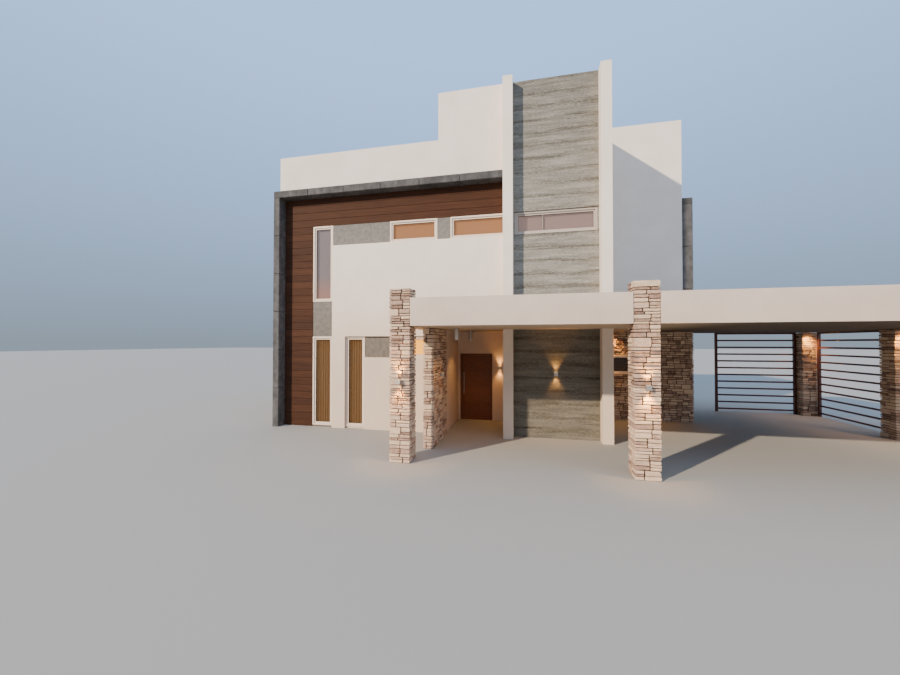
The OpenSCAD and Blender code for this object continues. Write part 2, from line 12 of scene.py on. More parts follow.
import bmesh
import bpy
import numpy as np
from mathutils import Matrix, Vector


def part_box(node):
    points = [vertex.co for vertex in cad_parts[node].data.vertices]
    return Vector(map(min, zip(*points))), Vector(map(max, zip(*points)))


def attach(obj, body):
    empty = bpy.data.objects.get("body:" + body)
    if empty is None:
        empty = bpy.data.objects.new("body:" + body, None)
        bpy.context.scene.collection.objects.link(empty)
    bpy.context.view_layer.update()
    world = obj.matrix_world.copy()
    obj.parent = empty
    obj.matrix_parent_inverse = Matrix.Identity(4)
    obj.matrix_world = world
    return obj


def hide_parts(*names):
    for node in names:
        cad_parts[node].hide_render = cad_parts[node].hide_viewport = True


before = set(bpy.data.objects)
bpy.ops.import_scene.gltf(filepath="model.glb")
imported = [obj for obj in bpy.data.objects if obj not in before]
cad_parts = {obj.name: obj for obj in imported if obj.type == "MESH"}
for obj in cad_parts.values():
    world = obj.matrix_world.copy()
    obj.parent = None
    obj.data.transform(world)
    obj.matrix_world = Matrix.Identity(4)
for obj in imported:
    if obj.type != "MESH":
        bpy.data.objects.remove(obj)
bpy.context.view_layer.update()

LOG = logging.getLogger("house")
MM = 0.001
TINY = 1e-6
HOUSE = "house"
DOOR = "front_door"
TONE = "tone"

# the window units' bars, as the construction model has them, less the joints between them
CASING_BAR = 54 * MM
SASH_BAR = 43 * MM
GASKET_BAR = 9 * MM

# a face looks along an axis where its normal's share on that axis is over this
STRAIGHT = 0.9

# how much of a form's half size its rims may take, as modelled and when it is fitted
RIM_SHARE, FITTED_RIM_SHARE = 0.9, 0.8

# the colour sockets of a Mix node
COLOUR_A, COLOUR_B, COLOUR_OUT = 6, 7, 2
BLEND = {"data_type": "RGBA"}
MULTIPLY = {"data_type": "RGBA", "blend_type": "MULTIPLY", 0: 1.0}

Point = tuple[float, float, float]
Span = tuple[float, float]
Corner = Sequence[float]
Box = tuple[np.ndarray, np.ndarray]
Stops = Sequence[tuple[float, str]]
Tree = bpy.types.NodeTree
Socket = bpy.types.NodeSocket


class Kind(Enum):
    """The shader nodes that the finishes are made of."""

    BUMP = "ShaderNodeBump"
    CELLS = "ShaderNodeTexVoronoi"
    CLOTH_MAP = "ShaderNodeUVMap"
    FACING = "ShaderNodeNewGeometry"
    MAPPING = "ShaderNodeMapping"
    MATH = "ShaderNodeMath"
    MIX = "ShaderNodeMix"
    NOISE = "ShaderNodeTexNoise"
    OWN_VALUE = "ShaderNodeAttribute"
    PLACE = "ShaderNodeTexCoord"
    RAMP = "ShaderNodeValToRGB"
    RANGE = "ShaderNodeMapRange"
    SPLIT = "ShaderNodeSeparateXYZ"
    VECTOR_MATH = "ShaderNodeVectorMath"


def to_linear(code: str) -> tuple[float, float, float, float]:
    """Turns an sRGB hex colour into linear light.

    Args:
        code: six hex digits after a hash sign.

    Returns:
        Red, green, blue and an alpha of 1.
    """
    parts = [int(code[i : i + 2], 16) / 255 for i in (1, 3, 5)]
    low = [c / 12.92 if c <= 0.04045 else ((c + 0.055) / 1.055) ** 2.4 for c in parts]
    return (low[0], low[1], low[2], 1.0)


def per_metre(size_mm: float) -> float:
    """Returns the texture scale that gives a pattern features of size_mm."""
    return 1000.0 / size_mm


def add_node(
    tree: Tree,
    kind: Kind,
    settings: dict[Any, Any] | None = None,
    links: dict[Any, Socket] | None = None,
    out: str | int = 0,
) -> Socket:
    """Adds one shader node.

    Args:
        tree: the material's node tree.
        kind: which node it is.
        settings: values for inputs or properties; "stops" fills a colour ramp.
        links: sockets to join to the named or numbered inputs.
        out: the name or number of the output that is wanted.

    Returns:
        That output.
    """
    node = tree.nodes.new(kind.value)
    for name, value in (settings or {}).items():
        if name == "stops":
            # a new ramp has two stops
            ramp = node.color_ramp.elements
            for i, (place, colour) in enumerate(value):
                stop = ramp[i] if i < 2 else ramp.new(place)
                stop.position = place
                stop.color = to_linear(colour)
        elif isinstance(name, int) or name in node.inputs:
            node.inputs[name].default_value = value
        else:
            setattr(node, name, value)
    for name, source in (links or {}).items():
        tree.links.new(source, node.inputs[name])
    return node.outputs[out]


def streaks(tree: Tree, where: Socket, scale: Point, noise: dict[str, float]) -> Socket:
    """Adds noise that is drawn out along some of the axes.

    Args:
        tree: the material's node tree.
        where: the place on the piece.
        scale: the pattern's scale along x, y and z.
        noise: the noise's other settings.

    Returns:
        The noise from 0 to 1.
    """
    drawn = add_node(tree, Kind.MAPPING, {"Scale": scale}, {"Vector": where})
    return add_node(tree, Kind.NOISE, {"Scale": 1.0} | noise, {"Vector": drawn})


@dataclass(frozen=True)
class Finish:
    """A surface finish; each kind paints its own pattern."""

    name: str
    tint: str
    roughness: float = 0.6
    metallic: float = 0.0

    def material(self) -> bpy.types.Material:
        """Makes the material, or finds it if it is made already.

        Returns:
            The material, with the finish's pattern.
        """
        ready = bpy.data.materials.get(self.name)
        if ready is not None:
            return ready
        made = bpy.data.materials.new(self.name)
        made.use_nodes = True
        tree = made.node_tree
        shader = tree.nodes["Principled BSDF"]
        plain = {
            "Base Color": to_linear(self.tint),
            "Roughness": self.roughness,
            "Metallic": self.metallic,
        }
        pattern = self.paint(tree, add_node(tree, Kind.PLACE, out="Object"))
        for name, value in (*plain.items(), *pattern.items()):
            if isinstance(value, Socket):
                tree.links.new(value, shader.inputs[name])
            else:
                shader.inputs[name].default_value = value
        return made

    def paint(self, tree: Tree, where: Socket) -> dict[str, Any]:
        """Adds the finish's pattern.

        Args:
            tree: the material's node tree.
            where: the place on the piece in metres.

        Returns:
            A value or a socket for each input of the shader that the pattern sets.
        """
        raise NotImplementedError


@dataclass(frozen=True)
class SmoothRender(Finish):
    """Float-finished mineral render: even, matt, with a sandy grain and faint clouds."""

    shade: str = "#C9C2BA"
    # the colours of the faces that look down: painted shade, darker over the carport
    under: str = ""
    carport_shade: str = ""
    # the tint at the wall's foot: partly dust, partly painted shade where less light comes up from the
    # ground
    dust: str = "#E8DED1"
    cloud_mm: float = 900.0
    grain_mm: float = 9.0
    grain_depth_mm: float = 0.7
    foot_shade_heights: Span = (1.5, 5.5)
    carport_shade_places: Span = (1.0, 3.5)

    def paint(self, tree: Tree, where: Socket) -> dict[str, Any]:
        """Clouds where the coat dried unevenly, and the float's sandy grain as relief.

        Args:
            tree: the material's node tree.
            where: the place on the piece in metres.

        Returns:
            The gloss, colour and relief.
        """
        noise = {"Scale": per_metre(self.cloud_mm), "Detail": 6.0, "Roughness": 0.62}
        clouds = add_node(tree, Kind.NOISE, noise, {"Vector": where})
        stops = [(0.32, self.shade), (0.62, self.tint)]
        tones = add_node(tree, Kind.RAMP, {"stops": stops}, {"Fac": clouds})
        # sand grains are about 1.5 mm: drawn coarser, so that they show at this distance
        noise = {"Scale": per_metre(self.grain_mm), "Detail": 3.0, "Roughness": 0.6}
        grain = add_node(tree, Kind.NOISE, noise, {"Vector": where})
        sand = {"Strength": 0.55, "Distance": self.grain_depth_mm * MM}
        relief = add_node(tree, Kind.BUMP, sand, {"Height": grain})
        # darker towards the foot: partly dust, partly painted shade
        colour = self.dusted_and_shaded(tree, tones, where)
        # painted shade on the soffit's faces that look down, darker over the carport
        if self.under:
            colour = self.shaded_underside(tree, colour, where)
        return {"Specular IOR Level": 0.2, "Base Color": colour, "Normal": relief}

    def dusted_and_shaded(self, tree: Tree, upper: Socket, where: Socket) -> Socket:
        """Darkens a wall towards its foot, partly with dust and partly with painted shade, less and
        less higher up.

        Args:
            tree: the material's node tree.
            upper: the colour of the render higher up.
            where: the place on the piece.

        Returns:
            The colour with the dust and the painted shade.
        """
        height = add_node(tree, Kind.SPLIT, None, {"Vector": where}, "Z")
        low, high = self.foot_shade_heights
        rise = {"interpolation_type": "SMOOTHSTEP", "From Min": low, "From Max": high}
        above_foot = add_node(tree, Kind.RANGE, rise, {"Value": height})
        stops = [(0.0, self.dust), (1.0, "#FFFFFF")]
        foot_tint = add_node(tree, Kind.RAMP, {"stops": stops}, {"Fac": above_foot})
        return add_node(tree, Kind.MIX, MULTIPLY, {COLOUR_A: upper, COLOUR_B: foot_tint}, COLOUR_OUT)

    def shaded_underside(self, tree: Tree, upper: Socket, where: Socket) -> Socket:
        """Paints shade where the piece faces down, darker over the carport.

        Args:
            tree: the material's node tree.
            upper: the colour of the other faces.
            where: the place on the piece.

        Returns:
            The colour of both.
        """
        facing = add_node(tree, Kind.FACING, out="True Normal")
        lift = add_node(tree, Kind.SPLIT, None, {"Vector": facing}, "Z")
        below = add_node(tree, Kind.MATH, {"operation": "LESS_THAN", 1: -0.5}, {0: lift})
        across = add_node(tree, Kind.SPLIT, None, {"Vector": where}, "X")
        left, right = self.carport_shade_places
        drift = {"interpolation_type": "SMOOTHSTEP", "From Min": left, "From Max": right}
        far = add_node(tree, Kind.RANGE, drift, {"Value": across})
        coats = {COLOUR_A: to_linear(self.under), COLOUR_B: to_linear(self.carport_shade)}
        coat = add_node(tree, Kind.MIX, BLEND | coats, {0: far}, COLOUR_OUT)
        return add_node(tree, Kind.MIX, BLEND, {0: below, COLOUR_A: upper, COLOUR_B: coat}, COLOUR_OUT)


@dataclass(frozen=True)
class CastConcrete(Finish):
    """Fair-faced concrete: mottled, with drip marks down it and small air holes."""

    dark: str = "#4E4F4C"
    light: str = "#84847F"
    blotch_mm: float = 260.0
    drip_mm: Span = (120.0, 1500.0)
    hole_mm: float = 38.0
    drip_weight: float = 0.45
    panel_weight: float = 0.16

    def paint(self, tree: Tree, where: Socket) -> dict[str, Any]:
        """Blotches and drips in colour, air holes as small dark dents.

        Args:
            tree: the material's node tree.
            where: the place on the piece in metres.

        Returns:
            The colour and relief.
        """
        across, down = (per_metre(size) for size in self.drip_mm)
        drips = streaks(tree, where, (across, across, down), {"Detail": 5.0, "Roughness": 0.65})
        noise = {"Scale": per_metre(self.blotch_mm), "Detail": 8.0, "Roughness": 0.7}
        blotches = add_node(tree, Kind.NOISE, noise, {"Vector": where})
        weigh = {"operation": "MULTIPLY_ADD", 1: self.drip_weight}
        both = add_node(tree, Kind.MATH, weigh, {0: drips, 2: blotches})
        panel = add_node(tree, Kind.OWN_VALUE, {"attribute_name": TONE}, out="Fac")
        weigh = {"operation": "MULTIPLY_ADD", 1: self.panel_weight}
        cast = add_node(tree, Kind.MATH, weigh, {0: panel, 2: both})
        stops = [(0.58, self.dark), (0.78, self.tint), (0.98, self.light)]
        tones = add_node(tree, Kind.RAMP, {"stops": stops}, {"Fac": cast})
        cells = {"Scale": per_metre(self.hole_mm), "Randomness": 1.0}
        holes = add_node(tree, Kind.CELLS, cells, {"Vector": where})
        stops = [(0.06, "#000000"), (0.13, "#FFFFFF")]
        pits = add_node(tree, Kind.RAMP, {"stops": stops}, {"Fac": holes})
        skin = add_node(tree, Kind.BUMP, {"Strength": 0.5, "Distance": 1.5 * MM}, {"Height": blotches})
        dents = {"Strength": 0.6, "Distance": 2.0 * MM}
        relief = add_node(tree, Kind.BUMP, dents, {"Height": pits, "Normal": skin})
        return {"Base Color": tones, "Normal": relief}


@dataclass(frozen=True)
class BoardMarkedConcrete(Finish):
    """Concrete cast against rough-sawn boards: ragged level joints and short grain flecks."""

    dark: str = "#5F5B52"
    light: str = "#B4AFA2"
    joint: str = "#8B877F"
    board_mm: float = 370.0
    grain_mm: Span = (900.0, 80.0)
    fleck_mm: Span = (90.0, 11.0)
    waver_mm: float = 420.0
    waver_reach: float = 0.06
    tear_mm: Span = (909.0, 384.6)
    tear_reach: float = 0.26
    tear_weight: float = 1.3
    fleck_weight: float = 1.7
    board_weight: float = 0.12
    evened: float = 0.39
    wall_height: float = 10.3
    # darker below the canopy's soffit: painted shade; darker towards the top
    canopy_shade_and_top_stops: Stops = (
        (0.0, "#C4BFB6"),
        (0.29, "#C4BFB6"),
        (0.32, "#FFFFFF"),
        (0.55, "#FFFFFF"),
        (1.0, "#DCDCDC"),
    )

    def paint(self, tree: Tree, where: Socket) -> dict[str, Any]:
        """Grain bands and flecks, a ragged dark line at each board's edge, painted shade below the
        canopy and a darker top.

        Args:
            tree: the material's node tree.
            where: the place on the piece in metres.

        Returns:
            The colour and relief.
        """
        grain = self.sawn(tree, where, self.grain_mm, 5.0)
        # the saw's marks are about 3 mm high: drawn coarser, so that they show
        flecks = self.sawn(tree, where, self.fleck_mm, 6.0)
        board = add_node(tree, Kind.OWN_VALUE, {"attribute_name": TONE}, out="Fac")
        weigh = {"operation": "MULTIPLY_ADD", 1: self.fleck_weight}
        shade = add_node(tree, Kind.MATH, weigh, {0: flecks, 2: grain})
        weigh = {"operation": "MULTIPLY_ADD", 1: self.board_weight}
        shade = add_node(tree, Kind.MATH, weigh, {0: board, 2: shade})
        even = {"operation": "MULTIPLY", 1: self.evened}
        level = add_node(tree, Kind.MATH, even, {0: shade})
        stops = [(0.36, self.dark), (0.55, self.tint), (0.72, self.light)]
        tones = add_node(tree, Kind.RAMP, {"stops": stops}, {"Fac": level})
        edges = self.edges(tree, where, level)
        lined = add_node(tree, Kind.MIX, MULTIPLY, {COLOUR_A: tones, COLOUR_B: edges}, COLOUR_OUT)
        # tones by height: painted shade below the canopy, darker towards the top
        height = add_node(tree, Kind.SPLIT, None, {"Vector": where}, "Z")
        share = add_node(tree, Kind.RANGE, {"From Max": self.wall_height}, {"Value": height})
        height_tone = add_node(tree, Kind.RAMP, {"stops": self.canopy_shade_and_top_stops}, {"Fac": share})
        colour = add_node(tree, Kind.MIX, MULTIPLY, {COLOUR_A: lined, COLOUR_B: height_tone}, COLOUR_OUT)
        ridges = add_node(tree, Kind.BUMP, {"Strength": 0.8, "Distance": 2.2 * MM}, {"Height": shade})
        steps = {"Strength": 0.8, "Distance": 2.5 * MM}
        relief = add_node(tree, Kind.BUMP, steps, {"Height": edges, "Normal": ridges})
        return {"Base Color": colour, "Normal": relief}

    def edges(self, tree: Tree, where: Socket, level: Socket) -> Socket:
        """Adds the ragged, broken line at each board's edge.

        Args:
            tree: the material's node tree.
            where: the place on the wall.
            level: how light the sawn grain is there.

        Returns:
            A multiplier that is dark in the line.
        """
        across, up = (per_metre(size) for size in self.tear_mm)
        noise = {"Detail": 7.0, "Roughness": 0.72}
        waver = streaks(tree, where, (across, across, up), noise)
        height = add_node(tree, Kind.SPLIT, None, {"Vector": where}, "Z")
        bend = {"operation": "MULTIPLY_ADD", 1: self.tear_reach}
        height = add_node(tree, Kind.MATH, bend, {0: waver, 2: height})
        count = {"operation": "MULTIPLY", 1: per_metre(self.board_mm)}
        rows = add_node(tree, Kind.MATH, count, {0: height})
        off = add_node(tree, Kind.MATH, {"operation": "PINGPONG", 1: 0.5}, {0: rows})
        tear = {"operation": "MULTIPLY_ADD", 1: self.tear_weight}
        ragged = add_node(tree, Kind.MATH, tear, {0: level, 2: off})
        stops = [(0.56, self.joint), (0.72, "#DAD6CE"), (0.95, "#FFFFFF")]
        return add_node(tree, Kind.RAMP, {"stops": stops}, {"Fac": ragged})

    def sawn(self, tree: Tree, where: Socket, size_mm: Span, detail: float) -> Socket:
        """Adds noise drawn out level, with a slow waver, as sawn grain leaves it.

        Args:
            tree: the material's node tree.
            where: the place on the wall.
            size_mm: the grain's length and height.
            detail: how fine the noise goes.

        Returns:
            The noise from 0 to 1.
        """
        noise = {"Scale": per_metre(self.waver_mm), "Detail": 2.0}
        waver = add_node(tree, Kind.NOISE, noise, {"Vector": where}, "Color")
        lift = {"operation": "MULTIPLY_ADD", 1: (0.0, 0.0, self.waver_reach)}
        bent = add_node(tree, Kind.VECTOR_MATH, lift, {0: waver, 2: where})
        along, up = (per_metre(size) for size in size_mm)
        return streaks(tree, bent, (along, along, up), {"Detail": detail, "Roughness": 0.65})


@dataclass(frozen=True)
class SplitStone(Finish):
    """Split-face sandstone: each block its own warm tone, rough broken faces."""

    tones: tuple[str, ...] = ("#7D6352", "#AC8D77", "#C6A88F", "#D4B899")
    vein_mm: float = 85.0
    grit_mm: float = 14.0
    vein_weight: float = 0.75
    first_stop: float = 0.34
    stop_reach: float = 0.6

    def paint(self, tree: Tree, where: Socket) -> dict[str, Any]:
        """One tone a stone with veins through it, and two sizes of broken relief.

        Args:
            tree: the material's node tree.
            where: the place on the piece in metres.

        Returns:
            The colour and relief.
        """
        stone = add_node(tree, Kind.OWN_VALUE, {"attribute_name": TONE}, out="Fac")
        noise = {"Scale": per_metre(self.vein_mm), "Detail": 6.0, "Roughness": 0.68}
        veins = add_node(tree, Kind.NOISE, noise, {"Vector": where})
        weigh = {"operation": "MULTIPLY_ADD", 1: self.vein_weight}
        mixed = add_node(tree, Kind.MATH, weigh, {0: veins, 2: stone})
        last = len(self.tones) - 1
        first, reach = self.first_stop, self.stop_reach
        stops = [(first + reach * i / last, tone) for i, tone in enumerate(self.tones)]
        tones = add_node(tree, Kind.RAMP, {"stops": stops}, {"Fac": mixed})
        # sandstone's grains are about 0.5 mm: drawn coarser, so that the broken faces show
        noise = {"Scale": per_metre(self.grit_mm), "Detail": 5.0, "Roughness": 0.7}
        grit = add_node(tree, Kind.NOISE, noise, {"Vector": where})
        broken = add_node(tree, Kind.BUMP, {"Strength": 0.8, "Distance": 8.0 * MM}, {"Height": veins})
        grains = {"Strength": 0.6, "Distance": 2.5 * MM}
        relief = add_node(tree, Kind.BUMP, grains, {"Height": grit, "Normal": broken})
        return {"Base Color": tones, "Normal": relief}


@dataclass(frozen=True)
class StainedTimber(Finish):
    """Planed softwood under a red-brown stain: grain along the board, satin sheen."""

    dark: str = "#4A2C22"
    light: str = "#7E5443"
    grain_mm: Span = (520.0, 16.0)
    board_weight: float = 0.2
    gleam: float = 0.5

    def paint(self, tree: Tree, where: Socket) -> dict[str, Any]:
        """Grain drawn out along the board, each board a little lighter or darker.

        Args:
            tree: the material's node tree.
            where: the place on the piece in metres.

        Returns:
            The gloss, colour and relief.
        """
        # growth rings are about 3 mm apart: drawn coarser, so that the grain shows
        along, across = (per_metre(size) for size in self.grain_mm)
        noise = {"Detail": 7.0, "Roughness": 0.62, "Distortion": 0.4}
        grain = streaks(tree, where, (along, across, across), noise)
        board = add_node(tree, Kind.OWN_VALUE, {"attribute_name": TONE}, out="Fac")
        weigh = {"operation": "MULTIPLY_ADD", 1: self.board_weight}
        shade = add_node(tree, Kind.MATH, weigh, {0: board, 2: grain})
        stops = [(0.36, self.dark), (0.6, self.tint), (0.86, self.light)]
        tones = add_node(tree, Kind.RAMP, {"stops": stops}, {"Fac": shade})
        relief = add_node(tree, Kind.BUMP, {"Strength": 0.4, "Distance": 1.0 * MM}, {"Height": grain})
        return {"Specular IOR Level": self.gleam, "Base Color": tones, "Normal": relief}


@dataclass(frozen=True)
class Coated(Finish):
    """Sprayed coat on metal: even colour with a slight orange-peel ripple."""

    ripple_mm: float = 12.0
    patch_mm: float = 310.0
    dust: str = "#B8B2A8"
    dust_share: float = 0.1

    def paint(self, tree: Tree, where: Socket) -> dict[str, Any]:
        """Thin dust in cloudy patches over the colour, and the ripple as relief.

        Args:
            tree: the material's node tree.
            where: the place on the piece in metres.

        Returns:
            The colour and relief.
        """
        noise = {"Scale": per_metre(self.patch_mm), "Detail": 5.0, "Roughness": 0.6}
        patches = add_node(tree, Kind.NOISE, noise, {"Vector": where})
        thin = {"operation": "MULTIPLY", 1: self.dust_share}
        share = add_node(tree, Kind.MATH, thin, {0: patches})
        coats = {COLOUR_A: to_linear(self.tint), COLOUR_B: to_linear(self.dust)}
        colour = add_node(tree, Kind.MIX, BLEND | coats, {0: share}, COLOUR_OUT)
        # the ripple is about 3 mm wide: drawn coarser, so that it shows
        noise = {"Scale": per_metre(self.ripple_mm), "Detail": 1.0}
        ripple = add_node(tree, Kind.NOISE, noise, {"Vector": where})
        relief = add_node(tree, Kind.BUMP, {"Strength": 0.15, "Distance": 0.4 * MM}, {"Height": ripple})
        return {"Base Color": colour, "Normal": relief}


@dataclass(frozen=True)
class BrushedMetal(Finish):
    """Brushed stainless steel or satin aluminium: fine lines along the brushing."""

    line_mm: Span = (2.0, 160.0)
    uneven: Span = (-0.08, 0.1)

    def paint(self, tree: Tree, where: Socket) -> dict[str, Any]:
        """Upright brushing lines that vary the roughness and give a faint relief.

        Args:
            tree: the material's node tree.
            where: the place on the piece in metres.

        Returns:
            The roughness and relief.
        """
        # the brush leaves lines of about 0.1 mm: drawn coarser, so that they show
        across, up = (per_metre(size) for size in self.line_mm)
        lines = streaks(tree, where, (across, across, up), {"Detail": 3.0})
        finest, roughest = (self.roughness + step for step in self.uneven)
        sheen = {"To Min": finest, "To Max": roughest}
        rough = add_node(tree, Kind.RANGE, sheen, {"Value": lines})
        relief = add_node(tree, Kind.BUMP, {"Strength": 0.2, "Distance": 0.2 * MM}, {"Height": lines})
        return {"Roughness": rough, "Normal": relief}


@dataclass(frozen=True)
class WindowGlass(Finish):
    """Double glazing: a thin tint, mirror-smooth, the curtain showing through it."""

    clear: float = 0.2
    wave_mm: float = 650.0

    def paint(self, tree: Tree, where: Socket) -> dict[str, Any]:
        """Mostly see-through, with very slow waves that bend the reflections.

        Args:
            tree: the material's node tree.
            where: the place on the piece in metres.

        Returns:
            The transparency, refraction and relief.
        """
        noise = {"Scale": per_metre(self.wave_mm), "Detail": 1.0}
        waves = add_node(tree, Kind.NOISE, noise, {"Vector": where})
        relief = add_node(tree, Kind.BUMP, {"Strength": 0.08, "Distance": 3.0 * MM}, {"Height": waves})
        return {"Alpha": self.clear, "IOR": 1.52, "Normal": relief}


@dataclass(frozen=True)
class WovenCloth(Finish):
    """Plain-woven curtain cloth: soft sheen, threads across and along the drop."""

    shade: str = "#8A6A3C"
    foot: str = ""
    thread_mm: float = 4.0
    slub_mm: float = 36.0
    foot_heights: Span = (4.9, 4.1)
    # the cloth's own glow: painted light for the rooms' lamps behind it, which also weakens shadows on
    # the cloth
    glow: float = 1.2

    def paint(self, tree: Tree, where: Socket) -> dict[str, Any]:
        """Thread noise on the cloth's own UV map in metres, and a painted glow that stands for the
        rooms' lamplight behind it.

        Args:
            tree: the material's node tree.
            where: the place on the piece, which the cloth's own map stands in for.

        Returns:
            The sheen, glow, colour and relief.
        """
        flat = add_node(tree, Kind.CLOTH_MAP, {"uv_map": "cloth"})
        # threads are about 0.6 mm: drawn coarser, so that the weave shows
        weave = (per_metre(self.thread_mm), per_metre(self.slub_mm), 1.0)
        warp = streaks(tree, flat, weave, {"Detail": 2.0})
        stops = [(0.3, self.shade), (0.7, self.tint)]
        colour = add_node(tree, Kind.RAMP, {"stops": stops}, {"Fac": warp})
        relief = add_node(tree, Kind.BUMP, {"Strength": 0.2, "Distance": 0.5 * MM}, {"Height": warp})
        if self.foot:
            height = add_node(tree, Kind.SPLIT, None, {"Vector": flat}, "Y")
            start, full = self.foot_heights
            fade = {"From Min": start, "From Max": full}
            low = add_node(tree, Kind.RANGE, fade, {"Value": height})
            warm = BLEND | {COLOUR_B: to_linear(self.foot)}
            colour = add_node(tree, Kind.MIX, warm, {0: low, COLOUR_A: colour}, COLOUR_OUT)
        return {
            "Sheen Weight": 0.25,
            "Sheen Roughness": 0.5,
            # painted glow, standing for lamplight from the room behind
            "Emission Strength": self.glow,
            "Emission Color": colour,
            "Base Color": colour,
            "Normal": relief,
        }


@dataclass(frozen=True)
class LampLens(Finish):
    """Opal lamp glass, lit from behind with warm light."""

    glow: float = 14.0
    uneven: float = 0.15
    patch_mm: float = 30.0

    def paint(self, tree: Tree, where: Socket) -> dict[str, Any]:
        """An even warm glow, a little brighter in cloudy patches.

        Args:
            tree: the material's node tree.
            where: the place on the piece in metres.

        Returns:
            The glow's colour and strength.
        """
        noise = {"Scale": per_metre(self.patch_mm), "Detail": 1.0}
        patches = add_node(tree, Kind.NOISE, noise, {"Vector": where})
        reach = {"To Min": self.glow * (1 - self.uneven), "To Max": self.glow * (1 + self.uneven)}
        power = add_node(tree, Kind.RANGE, reach, {"Value": patches})
        return {"Emission Color": to_linear(self.tint), "Emission Strength": power}


WHITE = SmoothRender("white_mineral_render", "#EFE1D2", 0.9, shade="#E8D9C9")
# the beige of the canopy and the slab edges, and their darker underside, are painted shade
SHADED_SOFFIT = SmoothRender(
    "soffit_render_with_painted_shade", "#D6C8BB", 0.9, shade="#CCBDB0", under="#C2AA8E", carport_shade="#5E5042"
)
GREY = SmoothRender("grey_mineral_render", "#847F77", 0.9, shade="#6D6963", cloud_mm=120.0)
DARK_CONCRETE = CastConcrete(
    "dark_fair_faced_concrete", "#4A4745", 0.85, dark="#373634", light="#5E5B58"
)
FLOOR_CONCRETE = CastConcrete(
    "floated_floor_concrete", "#A3A19B", 0.85, dark="#8E8C86", light="#B4B2AC"
)
BOARD_CONCRETE = BoardMarkedConcrete("board_marked_concrete", "#8E897D", 0.85)
STONE = SplitStone("split_face_sandstone", "#C4A794", 0.9)
MORTAR = CastConcrete("raked_joint_mortar", "#2C2621", 0.95, dark="#1E1A16", light="#3A332D")
MEMBRANE = CastConcrete("grey_roof_membrane", "#8C8B87", 0.9, dark="#7A7975", light="#A09F9A")
BOARDS = StainedTimber(
    "stained_softwood_boards", "#422615", 0.75, dark="#321C0F", light="#52321F", gleam=0.2
)
DOOR_WOOD = StainedTimber(
    "dark_stained_mahogany",
    "#80502E",
    0.5,
    dark="#653C21",
    light="#97633D",
    grain_mm=(300.0, 9.0),
    gleam=0.3,
)
CASING = Coated("cream_powder_coat", "#DFCAB4", 0.5)
TAUPE = Coated("taupe_powder_coat", "#B5A899", 0.5)
GASKET = Coated("black_rubber_gasket", "#1B1A19", 0.7, dust_share=0.05)
SCREEN = Coated("dark_red_brown_paint", "#5A2F20", 0.5, dust_share=0.04)
GLASS = WindowGlass("double_glazing", "#2E2B29", 0.03)
STEEL = BrushedMetal("brushed_stainless_steel", "#B5B0A8", 0.32, 1.0)
LAMP = BrushedMetal("satin_aluminium", "#C0B8AC", 0.55, 1.0, line_mm=(2.0, 60.0))
LENS = LampLens("opal_lamp_glass", "#FFC98A", 0.4)


class Cloth(Enum):
    """The cloths behind the glass, by the colour that shows through each window."""

    OCHRE = WovenCloth("ochre_curtain_cloth", "#6E4A1A", 0.9, shade="#5E3D14")
    MAUVE = WovenCloth("mauve_grey_blind_cloth", "#827674", 0.9, shade="#756A69", foot="#9A7263")
    AMBER = WovenCloth("amber_blind_cloth", "#A87348", 0.9, shade="#9A6840")
    GOLD = WovenCloth("golden_blind_cloth", "#E0982C", 0.9, shade="#D48C26", glow=4.2)
    ROSE = WovenCloth("rose_grey_blind_cloth", "#957C72", 0.9, shade="#8A736B")
    UMBER = WovenCloth("umber_blind_cloth", "#4E3520", 0.9, shade="#422C1A", glow=0.2)


class Side(Enum):
    """Which way a wall looks, as quarter turns from the front."""

    FRONT = 0
    RIGHT = 1
    BACK = 2
    LEFT = 3

    @property
    def turn(self) -> np.ndarray:
        """Returns the matrix that turns the wall's u and v to the frame's x and y."""
        cos, sin = ((1, 0), (0, 1), (-1, 0), (0, -1))[self.value]
        return np.array([[cos, -sin], [sin, cos]])


@dataclass(frozen=True)
class Wall:
    """A wall's own axes: u to the right along it, v into it from its face, w up."""

    side: Side
    origin: Span

    @classmethod
    def of(cls, side: Side, low: Corner, high: Corner) -> "Wall":
        """Sets up one side of a box as a wall.

        Args:
            side: which side it is.
            low: the box's lowest corner, in the frame's axes.
            high: its highest corner.

        Returns:
            The wall's axes.
        """
        x = high[0] if side in (Side.RIGHT, Side.BACK) else low[0]
        y = high[1] if side in (Side.BACK, Side.LEFT) else low[1]
        return cls(side, (float(x), float(y)))

    def place(self, points: np.ndarray) -> np.ndarray:
        """Turns points from the wall's axes to the frame's."""
        flat = points[:, :2] @ self.side.turn.T + self.origin
        return np.column_stack([flat, points[:, 2]])

    def inside(self, low: Corner, high: Corner) -> Box:
        """Turns a box from the frame's axes to the wall's.

        Args:
            low: the box's lowest corner in the frame's axes.
            high: its highest corner.

        Returns:
            The two corners in the wall's axes.
        """
        ends = np.array([low, high], float)
        ends[:, :2] = (ends[:, :2] - self.origin) @ self.side.turn
        return ends.min(axis=0), ends.max(axis=0)


def clear_selection() -> None:
    """Leaves edit mode and deselects everything."""
    if bpy.context.mode != "OBJECT":
        bpy.ops.object.mode_set(mode="OBJECT")
    bpy.ops.object.select_all(action="DESELECT")


def select_only(piece: bpy.types.Object) -> None:
    """Selects one piece and makes it the active one.

    Args:
        piece: the piece.
    """
    clear_selection()
    piece.select_set(True)
    bpy.context.view_layer.objects.active = piece


@contextmanager
def editing(piece: bpy.types.Object) -> Iterator[None]:
    """Puts one piece in edit mode for the block's length.

    Args:
        piece: the piece.

    Yields:
        Nothing, once the piece is in edit mode.
    """
    select_only(piece)
    bpy.ops.object.mode_set(mode="EDIT")
    yield
    clear_selection()


